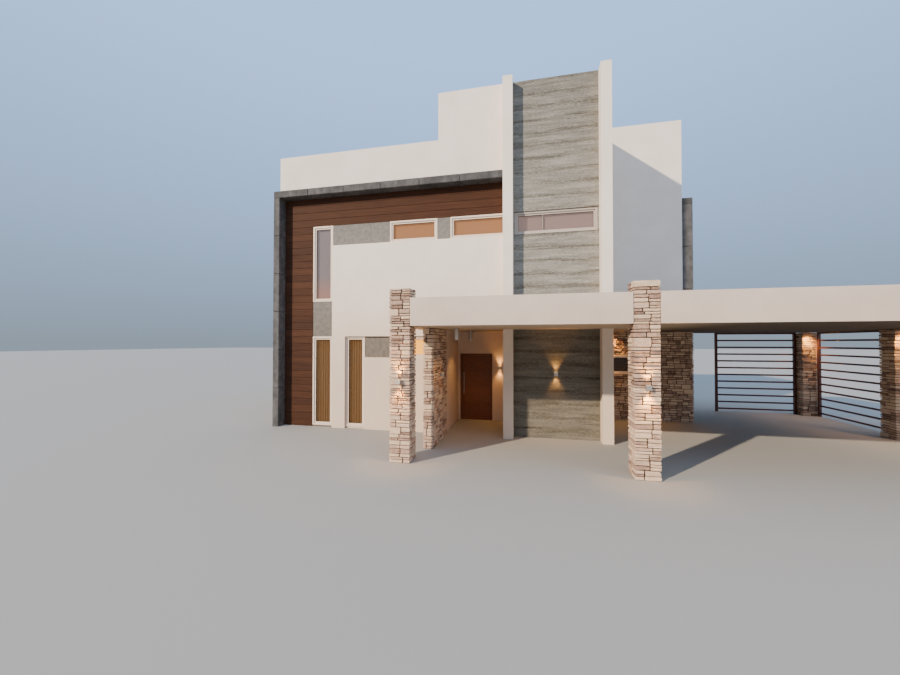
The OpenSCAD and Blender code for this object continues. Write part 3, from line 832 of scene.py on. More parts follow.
def pick_faces(piece: bpy.types.Object, test: Callable[[Any, Any], bool]) -> None:
    """Selects only the faces that pass a test.

    Args:
        piece: the piece, in edit mode.
        test: takes a face's centre and normal, and says whether to select it.
    """
    shape = bmesh.from_edit_mesh(piece.data)
    bpy.context.tool_settings.mesh_select_mode = (False, False, True)
    for face in shape.faces:
        face.select = test(face.calc_center_median(), face.normal)
    shape.select_flush_mode()
    bmesh.update_edit_mesh(piece.data)


def start_block(name: str, size: Point) -> bpy.types.Object:
    """Adds a block round the origin, to be shaped further.

    Args:
        name: what to call it.
        size: its width, depth and height.

    Returns:
        The block.
    """
    clear_selection()
    bpy.ops.mesh.primitive_cube_add(size=1.0, location=(0.0, 0.0, 0.0))
    piece = bpy.context.object
    piece.name = name
    piece.scale = size
    bpy.ops.object.transform_apply(location=True, rotation=True, scale=True)
    return piece


def start_round(name: str, width: float, height: float) -> bpy.types.Object:
    """Adds an upright cylinder round the origin, to be shaped further.

    Args:
        name: what to call it.
        width: its diameter.
        height: its height.

    Returns:
        The cylinder.
    """
    clear_selection()
    bpy.ops.mesh.primitive_cylinder_add(vertices=48, radius=width / 2, depth=height)
    piece = bpy.context.object
    piece.name = name
    return piece


def bevel_all(piece: bpy.types.Object, width: float, segments: int = 1) -> None:
    """Bevels a piece's sharp edges with a modifier and applies it.

    Args:
        piece: the piece.
        width: the bevels' width.
        segments: how many faces each bevel has.
    """
    select_only(piece)
    bevel = piece.modifiers.new("edges", "BEVEL")
    bevel.width = width
    bevel.segments = segments
    bevel.limit_method = "ANGLE"
    bpy.ops.object.modifier_apply(modifier=bevel.name)
    clear_selection()


def points_of(mesh: bpy.types.Mesh) -> np.ndarray:
    """Reads a mesh's vertices.

    Args:
        mesh: the mesh.

    Returns:
        The points, one in a row.
    """
    points = np.empty(len(mesh.vertices) * 3)
    mesh.vertices.foreach_get("co", points)
    return points.reshape(-1, 3)


def show(name: str, mesh: bpy.types.Mesh, finish: Finish, body: str) -> bpy.types.Object:
    """Makes a finished mesh a piece of the house.

    Args:
        name: the piece's name.
        mesh: its mesh, in the frame's axes.
        finish: its finish.
        body: the body that it rides on.

    Returns:
        The piece.
    """
    mesh.materials.append(finish.material())
    piece = bpy.data.objects.new(name, mesh)
    bpy.context.scene.collection.objects.link(piece)
    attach(piece, body)
    LOG.info("%s: %d faces in %s", name, len(mesh.polygons), finish.name)
    return piece


@dataclass
class Shape:
    """A small modelled form as arrays, so that copies of it can be fitted to boxes."""

    points: np.ndarray
    faces: list[tuple[int, ...]]
    half: np.ndarray
    rim: np.ndarray

    @classmethod
    def taken_from(cls, piece: bpy.types.Object, rim: Point) -> "Shape":
        """Reads a modelled piece and deletes it.

        Args:
            piece: the piece, round the origin.
            rim: how far in from each side the form keeps its size when it is fitted.

        Returns:
            The shape.
        """
        mesh = piece.data
        points = points_of(mesh)
        faces = [tuple(polygon.vertices) for polygon in mesh.polygons]
        half = np.abs(points).max(axis=0)
        bpy.data.objects.remove(piece, do_unlink=True)
        bpy.data.meshes.remove(mesh)
        return cls(points, faces, half, np.minimum(np.array(rim), half * RIM_SHARE))

    def fitted(self, low: Corner, high: Corner) -> np.ndarray:
        """Stretches the form to a box, with the rims left at their size.

        Args:
            low: the box's lowest corner.
            high: its highest corner.

        Returns:
            The points.
        """
        low, high = np.asarray(low, float), np.asarray(high, float)
        half = (high - low) / 2
        rim = np.minimum(self.rim, half * FITTED_RIM_SHARE)
        size = np.abs(self.points)
        core = self.half - self.rim
        outer = half - rim + (size - core) * rim / self.rim
        inner = size * (half - rim) / core
        return (low + high) / 2 + np.sign(self.points) * np.where(size > core, outer, inner)


class Joined:
    """Gathers fitted shapes and makes one mesh piece of them."""

    def __init__(self) -> None:
        """Starts with nothing gathered."""
        self.points: list[np.ndarray] = []
        self.faces: list[tuple[int, ...]] = []
        self.tones: list[np.ndarray] = []
        self.count = 0

    def add(
        self, shape: Shape, low: Corner, high: Corner, wall: Wall | None = None, tone: float = 0.5
    ) -> None:
        """Adds one copy of a shape.

        Args:
            shape: what to copy.
            low: the box's lowest corner, in the wall's axes if there is a wall.
            high: the box's highest corner.
            wall: the wall that the box is measured on, or None for the frame's axes.
            tone: a number from 0 to 1 that the finish may read.
        """
        points = shape.fitted(low, high)
        if wall is not None:
            points = wall.place(points)
        self.points.append(points)
        self.faces.extend(tuple(i + self.count for i in face) for face in shape.faces)
        self.tones.append(np.full(len(points), tone))
        self.count += len(points)

    def piece(
        self,
        name: str,
        finish: Finish,
        slot: str,
        replaced: str = "",
        body: str = HOUSE,
        smooth: float = 0.0,
    ) -> None:
        """Makes the mesh piece, dresses it and puts it on its body.

        Args:
            name: the piece's name.
            finish: its finish.
            slot: not used.
            replaced: the CAD node that it stands for, if any.
            body: the body that it rides on.
            smooth: the angle in degrees up to which edges are shaded smooth.
        """
        mesh = bpy.data.meshes.new(name)
        mesh.from_pydata(np.concatenate(self.points).tolist(), [], self.faces)
        mesh.validate()
        made = mesh.attributes.new(TONE, "FLOAT", "POINT")
        made.data.foreach_set("value", np.concatenate(self.tones))
        piece = show(name, mesh, finish, body)
        if smooth:
            select_only(piece)
            bpy.ops.object.shade_smooth_by_angle(angle=math.radians(smooth))
            clear_selection()
        if replaced:
            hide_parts(replaced)


class Shapes:
    """The small forms that the house repeats, each modelled once."""

    def __init__(self) -> None:
        """Models every form."""
        self.stones = [self.stone(seed) for seed in range(6)]
        self.slab = self.chamfered("slab", (1.0, 0.3, 1.0), 12 * MM)
        self.board = self.chamfered("board", (1.0, 0.05, 0.3), 3 * MM)
        self.bar = self.chamfered("bar", (0.2, 0.2, 0.2), 3 * MM)
        self.mark = self.chamfered("mark", (0.6, 0.06, 0.3), 3 * MM)
        self.casing = self.ring("casing", CASING_BAR, 4 * MM)
        self.sash = self.ring("sash", SASH_BAR, 3 * MM)
        self.gasket = self.ring("gasket", GASKET_BAR, 1 * MM)
        self.plank = self.chamfered("plank", (1.0, 0.05, 0.3), 5 * MM)
        self.lap = self.chamfered("lap", (1.0, 1.0, 0.02), 2 * MM)

    @staticmethod
    def chamfered(name: str, size: Point, edge: float) -> Shape:
        """Models a block with chamfered edges that keep their size when it is fitted.

        Args:
            name: what to call it while it is modelled.
            size: its width, depth and height.
            edge: the chamfers' width.

        Returns:
            The shape.
        """
        piece = start_block(name, size)
        bevel_all(piece, edge)
        return Shape.taken_from(piece, (edge, edge, edge))

    @staticmethod
    def ring(name: str, bar: float, edge: float) -> Shape:
        """Models an upright rectangular ring in the u-w plane, with chamfered edges.

        Args:
            name: what to call it while it is modelled.
            bar: how wide its bars are.
            edge: the chamfers' width.

        Returns:
            The shape.
        """
        piece = start_block(name, (1.0, 0.1, 1.0))
        with editing(piece):
            pick_faces(piece, lambda centre, normal: abs(normal.y) > STRAIGHT)
            bpy.ops.mesh.inset(thickness=bar, depth=0.0)
            # the two inset faces are the ones round the middle
            pick_faces(
                piece,
                lambda centre, normal: abs(normal.y) > STRAIGHT and centre.xz.length < bar / 2,
            )
            bpy.ops.mesh.bridge_edge_loops()
            bpy.ops.mesh.select_all(action="SELECT")
            bpy.ops.mesh.normals_make_consistent(inside=False)
        bevel_all(piece, edge)
        return Shape.taken_from(piece, (bar + edge, edge, bar + edge))

    @staticmethod
    def stone(seed: int) -> Shape:
        """Models a squared stone with worn arrises and a broken front face.

        Args:
            seed: sets how the face is broken.

        Returns:
            The shape.
        """
        piece = start_block("stone", (0.24, 0.09, 0.11))
        bevel_all(piece, 5 * MM)
        with editing(piece):
            pick_faces(piece, lambda centre, normal: normal.y < -STRAIGHT)
            bpy.ops.mesh.subdivide(number_cuts=2)
            bpy.ops.transform.vertex_random(offset=7 * MM, normal=0.6, seed=seed)
            pick_faces(piece, lambda centre, normal: abs(normal.x) > STRAIGHT)
            bpy.ops.mesh.subdivide(number_cuts=1)
            bpy.ops.transform.vertex_random(offset=5 * MM, normal=0.5, seed=seed + 40)
        return Shape.taken_from(piece, (9 * MM, 9 * MM, 9 * MM))


def box_of(node: str) -> Box:
    """Returns a CAD node's lowest and highest corner."""
    low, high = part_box(node)
    return np.array(low), np.array(high)


def corners(node: str) -> list[list[float]]:
    """Returns the sorted coordinates where a CAD node has corners, for x, y and z."""
    points = np.round(points_of(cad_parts[node].data), 4)
    return [sorted(set(points[:, axis].tolist())) for axis in range(3)]


def loose_boxes(node: str) -> list[Box]:
    """Finds the separate solids of a CAD node.

    Args:
        node: the node's name.

    Returns:
        The lowest and highest corner of each solid, in order of place.
    """
    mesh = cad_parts[node].data
    points = np.round(points_of(mesh), 4)
    spots, index = np.unique(points, axis=0, return_inverse=True)
    index = index.reshape(-1)
    group = list(range(len(spots)))

    def root(i: int) -> int:
        """Finds the solid that a spot belongs to.

        Args:
            i: the spot's number.

        Returns:
            The number of its solid's first spot.
        """
        while group[i] != i:
            group[i] = group[group[i]]
            i = group[i]
        return i

    for polygon in mesh.polygons:
        first, *others = (root(int(index[v])) for v in polygon.vertices)
        for other in others:
            group[root(other)] = root(first)
    found: dict[int, list[int]] = {}
    for i in range(len(spots)):
        found.setdefault(root(i), []).append(i)
    boxes = [(spots[ids].min(axis=0), spots[ids].max(axis=0)) for ids in found.values()]
    return sorted(boxes, key=lambda box: tuple(box[0]))


@dataclass
class Stonework:
    """Courses of split stone on a pier or wall, over a core of mortar.

    Every course turns each corner with one side's stones, and their depth there changes
    from course to course.
    """

    shapes: Shapes
    node: str
    sides: tuple[Side, ...] = tuple(Side)
    seed: int = 1
    course: Span = (0.12, 0.2)
    length: Span = (0.27, 0.44)
    least: Span = (0.16, 0.055)
    joint: float = 0.014
    upright: float = 0.009
    bed: float = 0.1
    shallowest: float = 0.08
    deepest: float = 0.22
    deepest_share: float = 0.47
    turn_place: Span = (0.3, 0.7)
    shortest_end: float = 0.6
    split_place: Span = (0.34, 0.66)
    split_room: float = 2.1
    level_split_chance: float = 0.85
    upright_split_ratios: Span = (1.6, 4.0)
    uneven: Span = (0.0005, 0.016)
    skew: float = 0.004
    ragged_top: float = 5.0
    tones: Span = (0.0, 0.72)
    core_back: float = 0.04
    core_down: float = 0.03
    holes: list[Box] = field(default_factory=list)

    def build(self) -> None:
        """Lays the stones and the core, in the CAD node's own box."""
        self.rng = random.Random(self.seed)
        self.low, self.high = box_of(self.node)
        stones, core = Joined(), Joined()
        thin = float(min(self.high[:2] - self.low[:2]))
        reach = (self.shallowest, min(self.deepest, thin * self.deepest_share))
        for base, top in self.bands():
            for up in self.levels(base, top):
                number = self.rng.choice((0, 0, 1))
                depths = {side: self.rng.uniform(*reach) for side in Side}
                self.meet(number, depths)
                for side in self.sides:
                    self.lay(stones, side, number, up, depths)
        self.fill(core)
        stones.piece(f"{self.node}_stones", STONE, "split_stone", self.node)
        core.piece(f"{self.node}_core", MORTAR, "split_stone")

    def meet(self, number: int, depths: dict[Side, float]) -> None:
        """Lets the stones that turn a slim block's corners meet at one upright joint.

        Args:
            number: 0 or 1, which says whose stones turn the corners.
            depths: how deep each side's stones are, changed here.
        """
        pair = (Side.LEFT, Side.RIGHT) if number else (Side.FRONT, Side.BACK)
        axis = 0 if number else 1
        across = float(self.high[axis] - self.low[axis])
        if across < 2 * self.length[0] and all(side in self.sides for side in pair):
            place = self.rng.uniform(*self.turn_place) * across
            depths[pair[0]] = place - self.upright / 2
            depths[pair[1]] = across - place - self.upright / 2

    def bands(self) -> list[Span]:
        """Splits the height at the holes' edges, so that courses run through between them.

        Returns:
            The lower and upper level of each band.
        """
        ends = [(self.low, self.high), *self.holes]
        order = sorted({float(corner[2]) for box in ends for corner in box})
        return list(zip(order, order[1:]))

    def levels(self, base: float, top: float) -> list[Span]:
        """Divides a height into courses.

        Args:
            base: where the lowest course starts.
            top: where the highest one ends.

        Returns:
            The lower and upper edges of courses of mixed height.
        """
        heights: list[float] = []
        while sum(heights) < top - base:
            heights.append(self.rng.uniform(*self.course))
        stretch = (top - base) / sum(heights)
        edges = [base]
        for height in heights:
            edges.append(edges[-1] + height * stretch)
        return list(zip(edges, edges[1:]))

    def runs(self, wall: Wall, length: float, level: float) -> list[Span]:
        """Finds where a course can be laid.

        Args:
            wall: the side's axes.
            length: how long the side is.
            level: the middle of the course.

        Returns:
            The stretches that no hole interrupts.
        """
        ends = [(0.0, length)]
        for low, high in self.holes:
            near, far = wall.inside(low, high)
            if near[1] < self.core_back and near[2] < level < far[2]:
                ends = [(0.0, float(near[0])), (float(far[0]), length)]
        return [(a, b) for a, b in ends if b - a > 2 * self.joint]

    def lay(
        self, out: Joined, side: Side, number: int, up: Span, depths: dict[Side, float]
    ) -> None:
        """Lays one course on one side, with its corner stones in turn.

        Args:
            out: what gathers the stones.
            side: the side to lay.
            number: 0 or 1, which says whose stones turn the corners.
            up: the course's lower and upper edge.
            depths: how deep each side's stones are where they turn a corner.
        """
        wall = Wall.of(side, self.low, self.high)
        axis = 0 if side in (Side.FRONT, Side.BACK) else 1
        length = float(self.high[axis] - self.low[axis])
        turns = (number + side.value) % 2 == 0
        before, after = (Side((side.value + step) % 4) for step in (3, 1))
        self.depth = depths[side] if turns else self.bed
        for a, b in self.runs(wall, length, sum(up) / 2):
            if not turns:
                a += depths[before] if a == 0.0 and before in self.sides else 0.0
                b -= depths[after] if b == length and after in self.sides else 0.0
            if b - a < self.joint:
                continue
            edges = [a]
            while b - edges[-1] > self.length[1]:
                edges.append(edges[-1] + self.rng.uniform(*self.length))
            if b - edges[-1] < self.length[0] * self.shortest_end and len(edges) > 1:
                edges.pop()
            edges.append(b)
            for along in zip(edges, edges[1:]):
                for stone in self.split(along, up):
                    self.stone(out, wall, *stone)

    def split(self, along: Span, up: Span) -> list[tuple[Span, Span]]:
        """Splits a block at random, as a mason fits smaller stones into a course.

        Args:
            along: the block's left and right edges.
            up: its lower and upper edges.

        Returns:
            The stones that fill the block.
        """
        wide, tall = along[1] - along[0], up[1] - up[0]
        share = self.rng.uniform(*self.split_place)
        never, always = self.upright_split_ratios
        chance = (wide / tall - never) / (always - never)
        if tall > self.split_room * self.least[1] and self.rng.random() < self.level_split_chance:
            z = up[0] + tall * share
            parts = [(along, (up[0], z)), (along, (z, up[1]))]
        elif wide > self.split_room * self.least[0] and self.rng.random() < chance:
            u = along[0] + wide * share
            parts = [((along[0], u), up), ((u, along[1]), up)]
        else:
            return [(along, up)]
        return [stone for part in parts for stone in self.split(*part)]

    def stone(self, out: Joined, wall: Wall, along: Span, up: Span) -> None:
        """Adds one stone, set back from the face by a chance amount.

        Args:
            out: what gathers the stones.
            wall: the side's axes.
            along: the stone's left and right edges, at the middle of its joints.
            up: its lower and upper edges.
        """
        gap, side = self.joint / 2, self.upright / 2
        back = self.rng.uniform(*self.uneven)
        nudge = [self.rng.uniform(0.0, self.skew) for _ in range(3)]
        low = (along[0] + side + nudge[0], back, up[0] + gap)
        # the top course ends in a broken line
        drop = nudge[2] * (self.ragged_top if up[1] > self.high[2] - TINY else 1.0)
        high = (along[1] - side - nudge[1], self.depth, up[1] - gap - drop)
        shape = self.rng.choice(self.shapes.stones)
        out.add(shape, low, high, wall, self.rng.uniform(*self.tones))

    def fill(self, core: Joined) -> None:
        """Adds the mortar core behind the stones, in four parts round a hole.

        Args:
            core: what gathers the core's parts.
        """
        low, high = self.low.copy(), self.high.copy()
        for side in self.sides:
            axis = 1 if side in (Side.FRONT, Side.BACK) else 0
            if side in (Side.FRONT, Side.LEFT):
                low[axis] += self.core_back
            else:
                high[axis] -= self.core_back
        high[2] -= self.core_down
        if not self.holes:
            core.add(self.shapes.slab, low, high)
            return
        hole_low, hole_high = self.holes[0]
        parts = [
            ((low[0], low[2]), (high[0], hole_low[2])),
            ((low[0], hole_high[2]), (high[0], high[2])),
            ((low[0], hole_low[2]), (hole_low[0], hole_high[2])),
            ((hole_high[0], hole_low[2]), (high[0], hole_high[2])),
        ]
        for (x0, z0), (x1, z1) in parts:
            core.add(self.shapes.slab, (x0, low[1], z0), (x1, high[1], z1))


def parts_of(start: float, end: float, count: int, gap: float) -> list[Span]:
    """Divides a length into equal parts.

    Args:
        start: where the length starts.
        end: where it ends.
        count: how many parts there are.
        gap: the joint between two parts; a lap where it is negative.

    Returns:
        The two ends of each part.
    """
    pitch = (end - start) / count
    last = count - 1
    return [
        (
            start + i * pitch + (gap / 2 if i else 0.0),
            start + (i + 1) * pitch - (gap / 2 if i < last else 0.0),
        )
        for i in range(count)
    ]


@dataclass
class Timber:
    """The boards on the front wall, with shadow gaps over a dark backing."""

    shapes: Shapes
    board: float = 0.222
    gap: float = 0.007
    end_gap: float = 0.002
    backing: float = 0.003
    bedding: float = 0.0005
    seed: int = 7

    def build(self) -> None:
        """Lays the upright strip and the level band of boards."""
        rng = random.Random(self.seed)
        xs, ys, zs = corners("wood_cladding")
        boards, back = Joined(), Joined()
        for x1, z0, z1 in ((xs[1], zs[0], zs[1]), (xs[2], zs[1], zs[2])):
            count = round((z1 - z0) / self.board)
            pitch = (z1 - z0) / count
            for i in range(count):
                low = (xs[0] + self.end_gap, ys[0], z0 + i * pitch + self.gap / 2)
                top = z0 + (i + 1) * pitch - self.gap / 2
                high = (x1 - self.end_gap, ys[1] - self.backing, top)
                boards.add(self.shapes.board, low, high, None, rng.random())
            low = (xs[0], ys[1] - self.backing, z0)
            back.add(self.shapes.slab, low, (x1, ys[1] - self.bedding, z1))
        boards.piece("cladding_boards", BOARDS, "wood_boards", "wood_cladding")
        back.piece("cladding_backing", GASKET, "wood_boards")


@dataclass
class CastFrames:
    """The dark concrete frames, cast in lengths with open joints."""

    shapes: Shapes
    length: float = 1.3
    joint: float = 0.006
    seed: int = 11

    def build(self) -> None:
        """Builds the front frame and the side frame."""
        rng = random.Random(self.seed)
        xs, ys, zs = corners("front_concrete_frame")
        front = Joined()
        self.cast(front, rng, 2, (xs[0], ys[0], zs[0]), (xs[1], ys[1], zs[1]))
        self.cast(front, rng, 0, (xs[0], ys[0], zs[1]), (xs[2], ys[1], zs[2]))
        front.piece("front_frame_castings", DARK_CONCRETE, "dark_concrete", "front_concrete_frame")
        xs, ys, zs = corners("side_concrete_frame")
        side = Joined()
        self.cast(side, rng, 2, (xs[0], ys[0], zs[1]), (xs[1], ys[1], zs[2]))
        self.cast(side, rng, 2, (xs[0], ys[2], zs[0]), (xs[1], ys[3], zs[2]))
        self.cast(side, rng, 1, (xs[0], ys[0], zs[2]), (xs[1], ys[3], zs[3]))
        side.piece("side_frame_castings", DARK_CONCRETE, "dark_concrete", "side_concrete_frame")

    def cast(self, out: Joined, rng: random.Random, axis: int, low: Point, high: Point) -> None:
        """Fills a bar with castings, with joints between them.

        Args:
            out: what gathers the castings.
            rng: gives each casting its tone.
            axis: the axis that the bar runs along.
            low: the bar's lowest corner.
            high: its highest corner.
        """
        count = max(1, round((high[axis] - low[axis]) / self.length))
        for start, end in parts_of(low[axis], high[axis], count, self.joint):
            near, far = list(low), list(high)
            near[axis], far[axis] = start, end
            out.add(self.shapes.slab, near, far, None, rng.random())


@dataclass
class TowerFace:
    """Marks of the shuttering boards on the tower's concrete wall, and dark strips that paint the
    shadow of open joints at its window.
    """

    shapes: Shapes
    strip: Span = (0.022, 0.05)
    length: Span = (0.25, 1.0)
    thick: Span = (0.001, 0.0055)
    sink: float = 0.004
    joint: float = 0.016
    seed: int = 23

    def build(self) -> None:
        """Lays the marks on the wall's face, clear of its window, and dark strips at the window's sill
        and head that paint the shadow of open joints.
        """
        rng = random.Random(self.seed)
        xs, ys, zs = corners("tower_concrete_wall")
        marks, joints = Joined(), Joined()
        gap = self.joint
        for z0, z1 in ((zs[0], zs[1] - gap), (zs[2] + gap, zs[3])):
            self.fill(marks, rng, (xs[0], xs[-1]), (z0, z1), ys[0])
        for x0, x1 in ((xs[0], xs[1]), (xs[2], xs[3])):
            self.fill(marks, rng, (x0, x1), (zs[1], zs[2]), ys[0])
        # dark strips across the wall at the window's sill and head: painted shadow of open joints
        for z in (zs[1] - gap, zs[2]):
            low = (xs[0], ys[0] - self.thick[0], z)
            joints.add(self.shapes.mark, low, (xs[-1], ys[0] + self.sink, z + gap))
        marks.piece("tower_board_marks", BOARD_CONCRETE, "board_concrete")
        joints.piece("tower_joint_shadow_strips", MORTAR, "board_concrete")

    def fill(self, out: Joined, rng: random.Random, along: Span, up: Span, face: float) -> None:
        """Fills a field with strips of unequal height, length and thickness.

        Args:
            out: what gathers the strips.
            rng: gives the strips' sizes and tones.
            along: the field's left and right edges.
            up: its lower and upper edges.
            face: where the wall's face is.
        """
        edges = [up[0]]
        while up[1] - edges[-1] > self.strip[1]:
            edges.append(edges[-1] + rng.uniform(*self.strip))
        edges.append(up[1])
        for z0, z1 in zip(edges, edges[1:]):
            x = along[0]
            while x < along[1] - TINY:
                end = min(along[1], x + rng.uniform(*self.length))
                end = along[1] if along[1] - end < self.length[0] else end
                proud = rng.uniform(*self.thick)
                high = (end, face + self.sink, z1)
                out.add(self.shapes.mark, (x, face - proud, z0), high, None, rng.random())
                x = end


@dataclass
class HungCloth:
    """One sheet of cloth behind a window: a pleated curtain, or a flat blind."""

    name: str
    cloth: Cloth
    wall: Wall
    along: Span
    up: Span
    back: float
    depth: float
    pleat: float = 0.085
    pleat_columns: int = 10
    blind_columns: int = 12
    rows: int = 14
    uneven: float = 0.6
    lean: float = 0.35
    gather: float = 0.25
    drawn_in: float = 0.25
    bow: float = 0.004

    def build(self) -> None:
        rng = random.Random(self.name)
        folds = max(1, round((self.along[1] - self.along[0]) / self.pleat)) if self.depth else 1
        columns = folds * self.pleat_columns if self.depth else self.blind_columns
        shift = [rng.uniform(-self.uneven, self.uneven) for _ in range(folds + 1)]
        points: list[Point] = []
        flats: list[Span] = []
        for row in range(self.rows + 1):
            run = 0.0
            for column in range(columns + 1):
                here = self.spot(column / columns, row / self.rows, folds, shift)
                if column:
                    run += math.dist(points[-1][:2], here[:2])
                points.append(here)
                flats.append((run, here[2]))
        wide = columns + 1
        starts = [row * wide + column for row in range(self.rows) for column in range(columns)]
        faces = [(i, i + 1, i + wide + 1, i + wide) for i in starts]
        mesh = bpy.data.meshes.new(self.name)
        mesh.from_pydata(self.wall.place(np.array(points)).tolist(), [], faces)
        layer = mesh.uv_layers.new(name="cloth")
        for loop in mesh.loops:
            layer.data[loop.index].uv = flats[loop.vertex_index]
        for polygon in mesh.polygons:
            polygon.use_smooth = True
        piece = show(self.name, mesh, self.cloth.value, HOUSE)

    def spot(self, across: float, rise: float, folds: int, shift: Sequence[float]) -> Point:
        """Places one point of the sheet.

        Args:
            across: how far along the sheet it is, from 0 to 1.
            rise: how far up it is, from 0 to 1.
            folds: how many pleats the sheet has.
            shift: how each pleat leans.

        Returns:
            The point in the wall's axes.
        """
        fold = across * folds
        belly = math.sin(math.pi * rise)
        swing = math.sin(2 * math.pi * fold + shift[min(int(fold), folds)] * self.lean * belly)
        reach = self.depth * (1 - self.drawn_in * rise)
        left, right = self.along
        low, high = self.up
        return (
            left + (right - left) * across + reach * self.gather * math.sin(4 * math.pi * fold),
            self.back + reach * swing + (0.0 if self.depth else self.bow * belly),
            low + (high - low) * rise,
        )


GLAZED_WALLS = {
    "front_wall": Side.FRONT,
    "top_front_wall": Side.FRONT,
    "tower_concrete_wall": Side.FRONT,
    "stone_wall": Side.FRONT,
    "left_wall": Side.LEFT,
    "top_left_wall": Side.LEFT,
    "right_wall": Side.RIGHT,
    "back_wall": Side.BACK,
    "top_back_wall": Side.BACK,
}


@dataclass
class Windows:
    """Casings, sashes, gaskets, glass and the cloth behind it, for every window."""

    shapes: Shapes
    joint: float = 0.003
    sash_back: float = 0.026
    sash_depth: float = 0.058
    seal_back: float = 0.012
    cloth_gap: float = 0.014
    pleat_depth: float = 0.018
    upper_sill: float = 3.3
    upright: float = 1.2
    full_height: float = 1.8

    def build(self) -> None:
        """Builds each window unit from the CAD casings and panes."""
        casings, sashes, taupe, gaskets = Joined(), Joined(), Joined(), Joined()
        panes = loose_boxes("window_glass")
        for number, (low, high) in enumerate(loose_boxes("window_frames")):
            node, wall = self.wall_of(low, high)
            own = [
                wall.inside(*pane)
                for pane in panes
                if np.all(pane[0] > low - MM) and np.all(pane[1] < high + MM)
            ]
            near, far = wall.inside(low, high)
            tower = node == "tower_concrete_wall"
            (taupe if tower else casings).add(self.shapes.casing, near, far, wall)
            own.sort(key=lambda box: box[0][0])
            self.glaze(taupe if tower else sashes, gaskets, wall, (near, far), own)
            self.dress(number, node, wall, near, far)
        casings.piece("window_casings", CASING, "window_white", "window_frames")
        sashes.piece("window_sashes", CASING, "window_white")
        taupe.piece("tower_window_casing", TAUPE, "window_white")
        gaskets.piece("window_gaskets", GASKET, "window_white")
        paint_node("window_glass", GLASS)

    def wall_of(self, low: np.ndarray, high: np.ndarray) -> tuple[str, Wall]:
        """Finds the wall that a casing sits in.

        Args:
            low: the casing's lowest corner.
            high: its highest corner.

        Returns:
            The wall's node and its axes.
        """
        middle = (low + high) / 2
        for node, side in GLAZED_WALLS.items():
            a, b = box_of(node)
            if np.all(middle > a - MM) and np.all(middle < b + MM):
                return node, Wall.of(side, a, b)
        raise ValueError(f"no wall holds the window at {middle}")

    def glaze(
        self, sashes: Joined, gaskets: Joined, wall: Wall, casing: Box, panes: list[Box]
    ) -> None:
        """Adds the sash and its bars, and the gaskets at the glass and in the sash's joint.

        Args:
            sashes: what gathers the sashes.
            gaskets: what gathers the gaskets.
            wall: the wall's axes.
            casing: the casing's box in them.
            panes: the panes' boxes in them, from left to right.
        """
        near, far = casing
        front = near[1] + self.sash_back
        back = front + self.sash_depth
        inset = CASING_BAR + self.joint
        low = (near[0] + inset, front, near[2] + inset)
        sashes.add(self.shapes.sash, low, (far[0] - inset, back, far[2] - inset), wall)
        for (_, left), (right, _) in zip(panes, panes[1:]):
            low = (left[0], front + self.joint, right[2] - inset / 2)
            high = (right[0], back - self.joint, left[2] + inset / 2)
            sashes.add(self.shapes.bar, low, high, wall)
        for low, high in panes:
            gaskets.add(self.shapes.gasket, low - self.joint, high + self.joint, wall)
        edge = inset - GASKET_BAR / 2
        low = (near[0] + edge, front + self.seal_back, near[2] + edge)
        high = (far[0] - edge, back - self.seal_back, far[2] - edge)
        gaskets.add(self.shapes.gasket, low, high, wall)

    def dress(
        self, number: int, node: str, wall: Wall, near: np.ndarray, far: np.ndarray
    ) -> None:
        """Hangs a pleated curtain behind a tall window, or a flat blind behind a wide one.

        Args:
            number: the window's number.
            node: the wall that it is in.
            wall: the wall's axes.
            near: the casing's lowest corner in them.
            far: its highest corner.
        """
        wide, tall = far[0] - near[0], far[2] - near[2]
        upper = near[2] > self.upper_sill
        upright = tall > self.upright * wide or tall > self.full_height
        pleated = upright and not upper
        if node == "tower_concrete_wall":
            cloth = Cloth.ROSE
        elif node == "stone_wall":
            cloth = Cloth.UMBER
        elif upright:
            cloth = Cloth.MAUVE if upper else Cloth.OCHRE
        else:
            cloth = Cloth.AMBER if upper else Cloth.GOLD
        depth = self.pleat_depth if pleated else 0.0
        back = near[1] + self.sash_back + self.sash_depth + self.cloth_gap + depth
        edge = CASING_BAR + 2 * self.joint
        name = f"{'curtain' if pleated else 'blind'}_{number}"
        along, up = ((near[axis] + edge, far[axis] - edge) for axis in (0, 2))
        HungCloth(name, cloth, wall, along, up, back, depth).build()


@dataclass
class EntranceDoor:
    """The planked door leaf, its frame, pull bar and hinges."""

    shapes: Shapes
    planks: int = 4
    groove: float = 0.008
    face: float = 0.006
    tongue: float = 0.002
    core_tone: float = 0.1
    seed: int = 31

    def build(self) -> None:
        """Builds the leaf on the door's body and dresses the rest."""
        rng = random.Random(self.seed)
        low, high = box_of("door_leaf")
        core, planks = Joined(), Joined()
        inner = np.array([0.0, self.face, 0.0])
        core.add(self.shapes.bar, low + inner, high - inner, None, self.core_tone)
        thick = self.face + self.tongue
        for z0, z1 in parts_of(low[2], high[2], self.planks, self.groove):
            for y0, y1 in ((low[1], low[1] + thick), (high[1] - thick, high[1])):
                ends = (low[0], y0, z0), (high[0], y1, z1)
                planks.add(self.shapes.plank, *ends, None, rng.random())
        planks.piece("door_leaf_planks", DOOR_WOOD, "door_wood", "door_leaf", DOOR)
        core.piece("door_leaf_core", DOOR_WOOD, "door_wood", body=DOOR)
        paint_node("door_frame", DOOR_WOOD)
        for node in ("door_pull", "door_hinges", "leaf_hinges"):
            paint_node(node, STEEL)


